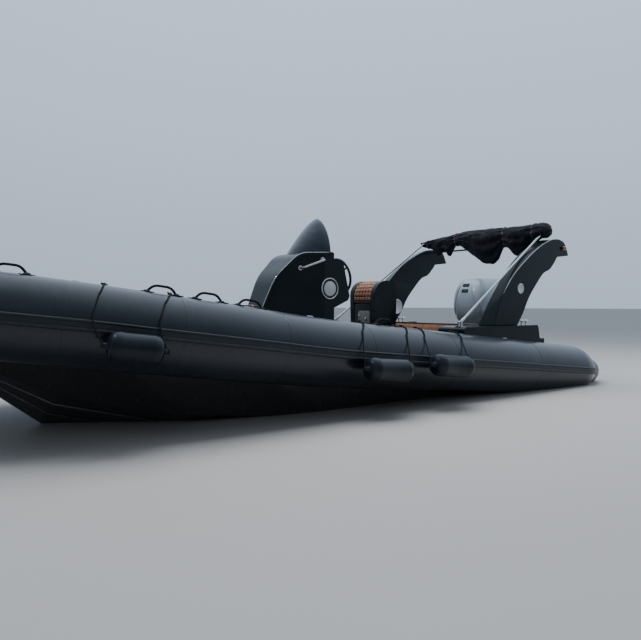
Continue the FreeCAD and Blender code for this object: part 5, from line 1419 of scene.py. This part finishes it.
# %% Console: the grab handle
HANDLE_ENDS = ((2.622, 1.354), (2.858, 1.267))
FOOT_STEPS = ((0.0, 0.0235), (0.008, 0.0235), (0.010, 0.021), (0.0105, 0.014))
first, last = [Vector((x, console_side(x, 0.012), z)) for x, z in HANDLE_ENDS]
stand = Vector((0.0, 0.052, 0.0))
parts = [bar(rounded_path([first, first + stand, last + stand, last], (0.030, 0.030), 0.005), 0.0115, fine=4)]
parts += [turned(FOOT_STEPS, end, (0.19, 1.0, 0.0)) for end in (first, last)]
grab = settle(join(parts), "console_grab", "hull", "stainless_tube", 40.0)
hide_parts("console_handle")

# %% Console: the seat in front, with its backrest
for name, low, high in (("front_seat_cushion", (3.302, -0.205, 0.642), (3.552, 0.205, 0.712)),
                        ("front_back_cushion", (3.292, -0.132, 0.716), (3.352, 0.132, 0.912))):
    cushion = padded_block(low, high, 0.016, 2.0, 0.007,
                           lambda place, normal: 0.002 * noise.noise(place * 11.0))
    settle(cushion, name, "hull", "tan_upholstery", 60.0, maroon)
pale_piping = dark_leather_cloth("pale_piping", (0.24, 0.23, 0.215))
seat_edge = rounded_loop((3.300, -0.207, 0.0), (3.554, 0.207, 0.0), 0.02, 0.650)
piping("front_seat_piping", seat_edge, 0.0038, "hull", pale_piping)
back_edge = facing_loop((-0.130, 0.722), (0.130, 0.910), 0.02, 3.349)
piping("front_back_piping", back_edge, 0.0038, "hull", pale_piping)

# %% Console: gauges, a display and switches on the sloping dash
DASH_SEAT = Vector((2.3084, 0.0, 1.190))
DASH_OUT = Vector((-0.9714, 0.0, 0.2375))
DASH_UP = Vector((0.2375, 0.0, 0.9714))
GAUGE_Y = 0.165
GAUGE_STEPS = ((-0.004, 0.044), (0.004, 0.044), (0.008, 0.041), (0.008, 0.036), (0.004, 0.034))
SWITCH_STEPS = ((-0.003, 0.012), (0.004, 0.011), (0.012, 0.006), (0.014, 0.004))


def on_dash(u, v, depth=0.0):
    """A point of the dash: across it, up it and off its face."""
    return DASH_SEAT + DASH_UP * v + DASH_OUT * depth + Vector((0.0, u, 0.0))


dials = []
for side in SIDES:
    dials.append(turned(GAUGE_STEPS, on_dash(side * GAUGE_Y, 0.105), DASH_OUT, 40))
    dials += [turned(SWITCH_STEPS, on_dash(side * GAUGE_Y + shift, row), DASH_OUT, 16)
              for shift in (-0.030, 0.030) for row in (-0.10, -0.055)]
settle(join(dials), "dash_gauges", "hull", "control_plastic")
DISPLAY_STEPS = ((0.100, 0.062, 0.158, -0.004), (0.098, 0.064, 0.156, 0.012))
near, far = [[on_dash(u, v, depth) for _, u, v in facing_loop((-half, low), (half, high), 0.012, 0.0)]
             for half, low, high, depth in DISPLAY_STEPS]
settle(plate(near, far, 0.003), "dash_display", "hull", "tinted_screen")

# %% Helm: the wheel
WHEEL_R, RIM_R, SPOKE_R, WHEEL_OUT = 0.178, 0.0142, 0.0105, 0.105
SPOKE_DEGREES = (90.0, 210.0, 330.0)
HUB_STEPS = ((-0.024, 0.040), (-0.020, 0.043), (0.006, 0.043), (0.012, 0.038), (0.015, 0.026), (0.016, 0.010))
ACROSS = Vector((0.0, 1.0, 0.0))
hub = DASH_SEAT + DASH_OUT * WHEEL_OUT
rim = [hub + (DASH_UP * math.sin(a) + ACROSS * math.cos(a)) * WHEEL_R for a in turns(144)]
parts = [bar(rim, RIM_R, closed=True, fine=4,
             swell=lambda share: 1.0 - 0.07 * abs(math.sin(36.0 * math.pi * share)))]
for a in (math.radians(degrees) for degrees in SPOKE_DEGREES):
    way = -DASH_UP * math.sin(a) + ACROSS * math.cos(a)
    spoke = [hub + way * (WHEEL_R * share) + DASH_OUT * (-0.012 * (1.0 - share))
             for share in (0.1, 0.35, 0.6, 0.8, 1.0)]
    parts.append(bar(smooth_line(spoke, 0.01), SPOKE_R, swell=lambda share: 1.25 - 0.45 * share))
parts.append(turned(HUB_STEPS, hub, DASH_OUT, 40))
parts.append(turned(((-0.060, 0.014), (0.085, 0.014)), DASH_SEAT, DASH_OUT, 24))
wheel = settle(join(parts), "helm_wheel", "helm", "control_plastic", 40.0)
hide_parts("steering_wheel")
print("wheel:", len(wheel.data.polygons), "faces")

# %% [markdown]
# ## Deck fittings
# Cleats are cast: two posts and a bar that thins to its horns. Flush valves sit
# on the tube's crown, and the bow locker's lid has a round pull latch.

# %% Cleats, valves and the locker's latch
HORN_LINE = [Vector((x, 0.0, 0.046 + 0.004 * abs(x / 0.095) ** 2))
             for x in (k * 0.0095 for k in range(-10, 11))]
POST_STEPS = ((0.0, 0.019), (0.004, 0.018), (0.010, 0.012), (0.040, 0.010))
VALVE_STEPS = ((-0.012, 0.025), (0.001, 0.025), (0.004, 0.023), (0.005, 0.017), (0.003, 0.015))
CLEAT_X, CLEAT_Y, CLEAT_Z, POST_X = 0.330, 0.960, 0.690, 0.038
VALVE_X, LATCH_X = (3.455, 0.900, 5.250), 4.70
LATCH_STEPS = ((-0.030, 0.030), (-0.0165, 0.030), (-0.0155, 0.027), (-0.0160, 0.012), (-0.013, 0.010))
horn = bar(HORN_LINE, 0.0115, swell=lambda share: 0.45 + 0.55 * math.sin(math.pi * share) ** 0.6)
pattern = join([horn] + [turned(POST_STEPS, (x, 0.0, 0.0)) for x in (-POST_X, POST_X)])
cleats = join([copy_of(pattern, Matrix.Translation((CLEAT_X, side * CLEAT_Y, CLEAT_Z))) for side in SIDES])
forget(pattern)
settle(cleats, "horned_cleats", "hull", "stainless_tube", 40.0)
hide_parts("cleats")
valve = turned(VALVE_STEPS)
valves = join([copy_of(valve, on_crown(x, side)) for x in VALVE_X for side in SIDES])
forget(valve)
settle(valves, "tube_valves", "hull", "collar_rubber", finish=pale_disc)
latch = turned(LATCH_STEPS, (LATCH_X, 0.0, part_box("locker_lid")[1].z))
settle(latch, "locker_latch", "locker_lid", "stainless_tube")

# %% [markdown]
# ## Camera and light
# The camera stands low off the port bow, where the photograph was taken from.
# Its place and its lens come from lining up the boat's real sizes. The floor is
# the waterline, so the hull's deep part is below it. Wide lamps would show as
# hard white shapes in gloss black, so they light the pieces without being
# mirrored in them, and a sky that brightens overhead gives the long highlights.

# %% Camera, floor and lamps
EYE = (6.5206, 5.2063, 0.919)
HEADING_DEG = 142.0
PITCH_DEG = -1.41
LENS_MM = 36.06

bpy.ops.object.camera_add(
    location=EYE, rotation=(math.radians(90.0 + PITCH_DEG), 0.0, math.radians(HEADING_DEG)))
camera = bpy.context.object
camera.data.sensor_width = 36.0
camera.data.lens = LENS_MM
camera.data.clip_end = 400.0
bpy.context.scene.camera = camera

bpy.ops.mesh.primitive_plane_add(size=240.0)
floor = bpy.context.object
floor.name = "floor"
pale = Finish("pale_floor")
floor.data.materials.append(pale.surface(pale.noise(3.0), grey(0.25), grey(0.28), 0.65))


def soft_lamp(name, place, target, size, power, mirrored=False):
    """A square lamp that faces a point; only a mirrored one shows in glossy pieces."""
    bpy.ops.object.light_add(type="AREA", location=place)
    lamp = bpy.context.object
    lamp.name = name
    lamp.data.size = size
    lamp.data.energy = power
    lamp.visible_glossy = mirrored
    lamp.rotation_euler = (Vector(target) - Vector(place)).to_track_quat("-Z", "Y").to_euler()


soft_lamp("overhead", (2.0, -1.0, 8.0), (2.0, 0.0, 0.5), 7.0, 1500.0)
soft_lamp("front_fill", (9.0, 8.0, 5.0), (2.0, 0.0, 0.5), 5.0, 120.0)
soft_lamp("stern_rim", (-6.0, 3.0, 4.0), (0.0, 0.0, 1.0), 3.0, 160.0)
soft_lamp("glint", (7.5, -1.0, 7.0), (2.5, 0.0, 1.0), 0.7, 60.0, mirrored=True)

# %% Sky: brighter overhead, and hazy on the side that the sun is on
sky = bpy.data.worlds.new("pale_sky")
bpy.context.scene.world = sky
sky.use_nodes = True
nodes, links = sky.node_tree.nodes, sky.node_tree.links
way = nodes.new("ShaderNodeTexCoord")
split = nodes.new("ShaderNodeSeparateXYZ")
links.new(way.outputs["Generated"], split.inputs[0])
shade = nodes.new("ShaderNodeValToRGB")
links.new(split.outputs["Z"], shade.inputs[0])
SUN_WAY = (-0.72, -0.66, 0.22)
SKY_STEPS = ((0.0, (0.36, 0.43, 0.53)), (0.45, (0.52, 0.62, 0.76)), (1.0, (1.00, 1.12, 1.28)))
while len(shade.color_ramp.elements) < len(SKY_STEPS):
    shade.color_ramp.elements.new(0.5)
for element, (place, colour) in zip(shade.color_ramp.elements, SKY_STEPS):
    element.position = place
    element.color = (*colour, 1.0)
links.new(shade.outputs["Color"], nodes["Background"].inputs["Color"])
sunward = nodes.new("ShaderNodeVectorMath")
sunward.operation = "DOT_PRODUCT"
links.new(way.outputs["Generated"], sunward.inputs[0])
sunward.inputs[1].default_value = SUN_WAY
haze = nodes.new("ShaderNodeMapRange")
haze.interpolation_type = "SMOOTHSTEP"
for socket, value in (("From Min", -0.5), ("From Max", 1.0), ("To Min", 0.42), ("To Max", 1.45)):
    haze.inputs[socket].default_value = value
links.new(sunward.outputs["Value"], haze.inputs["Value"])
links.new(haze.outputs["Result"], nodes["Background"].inputs["Strength"])
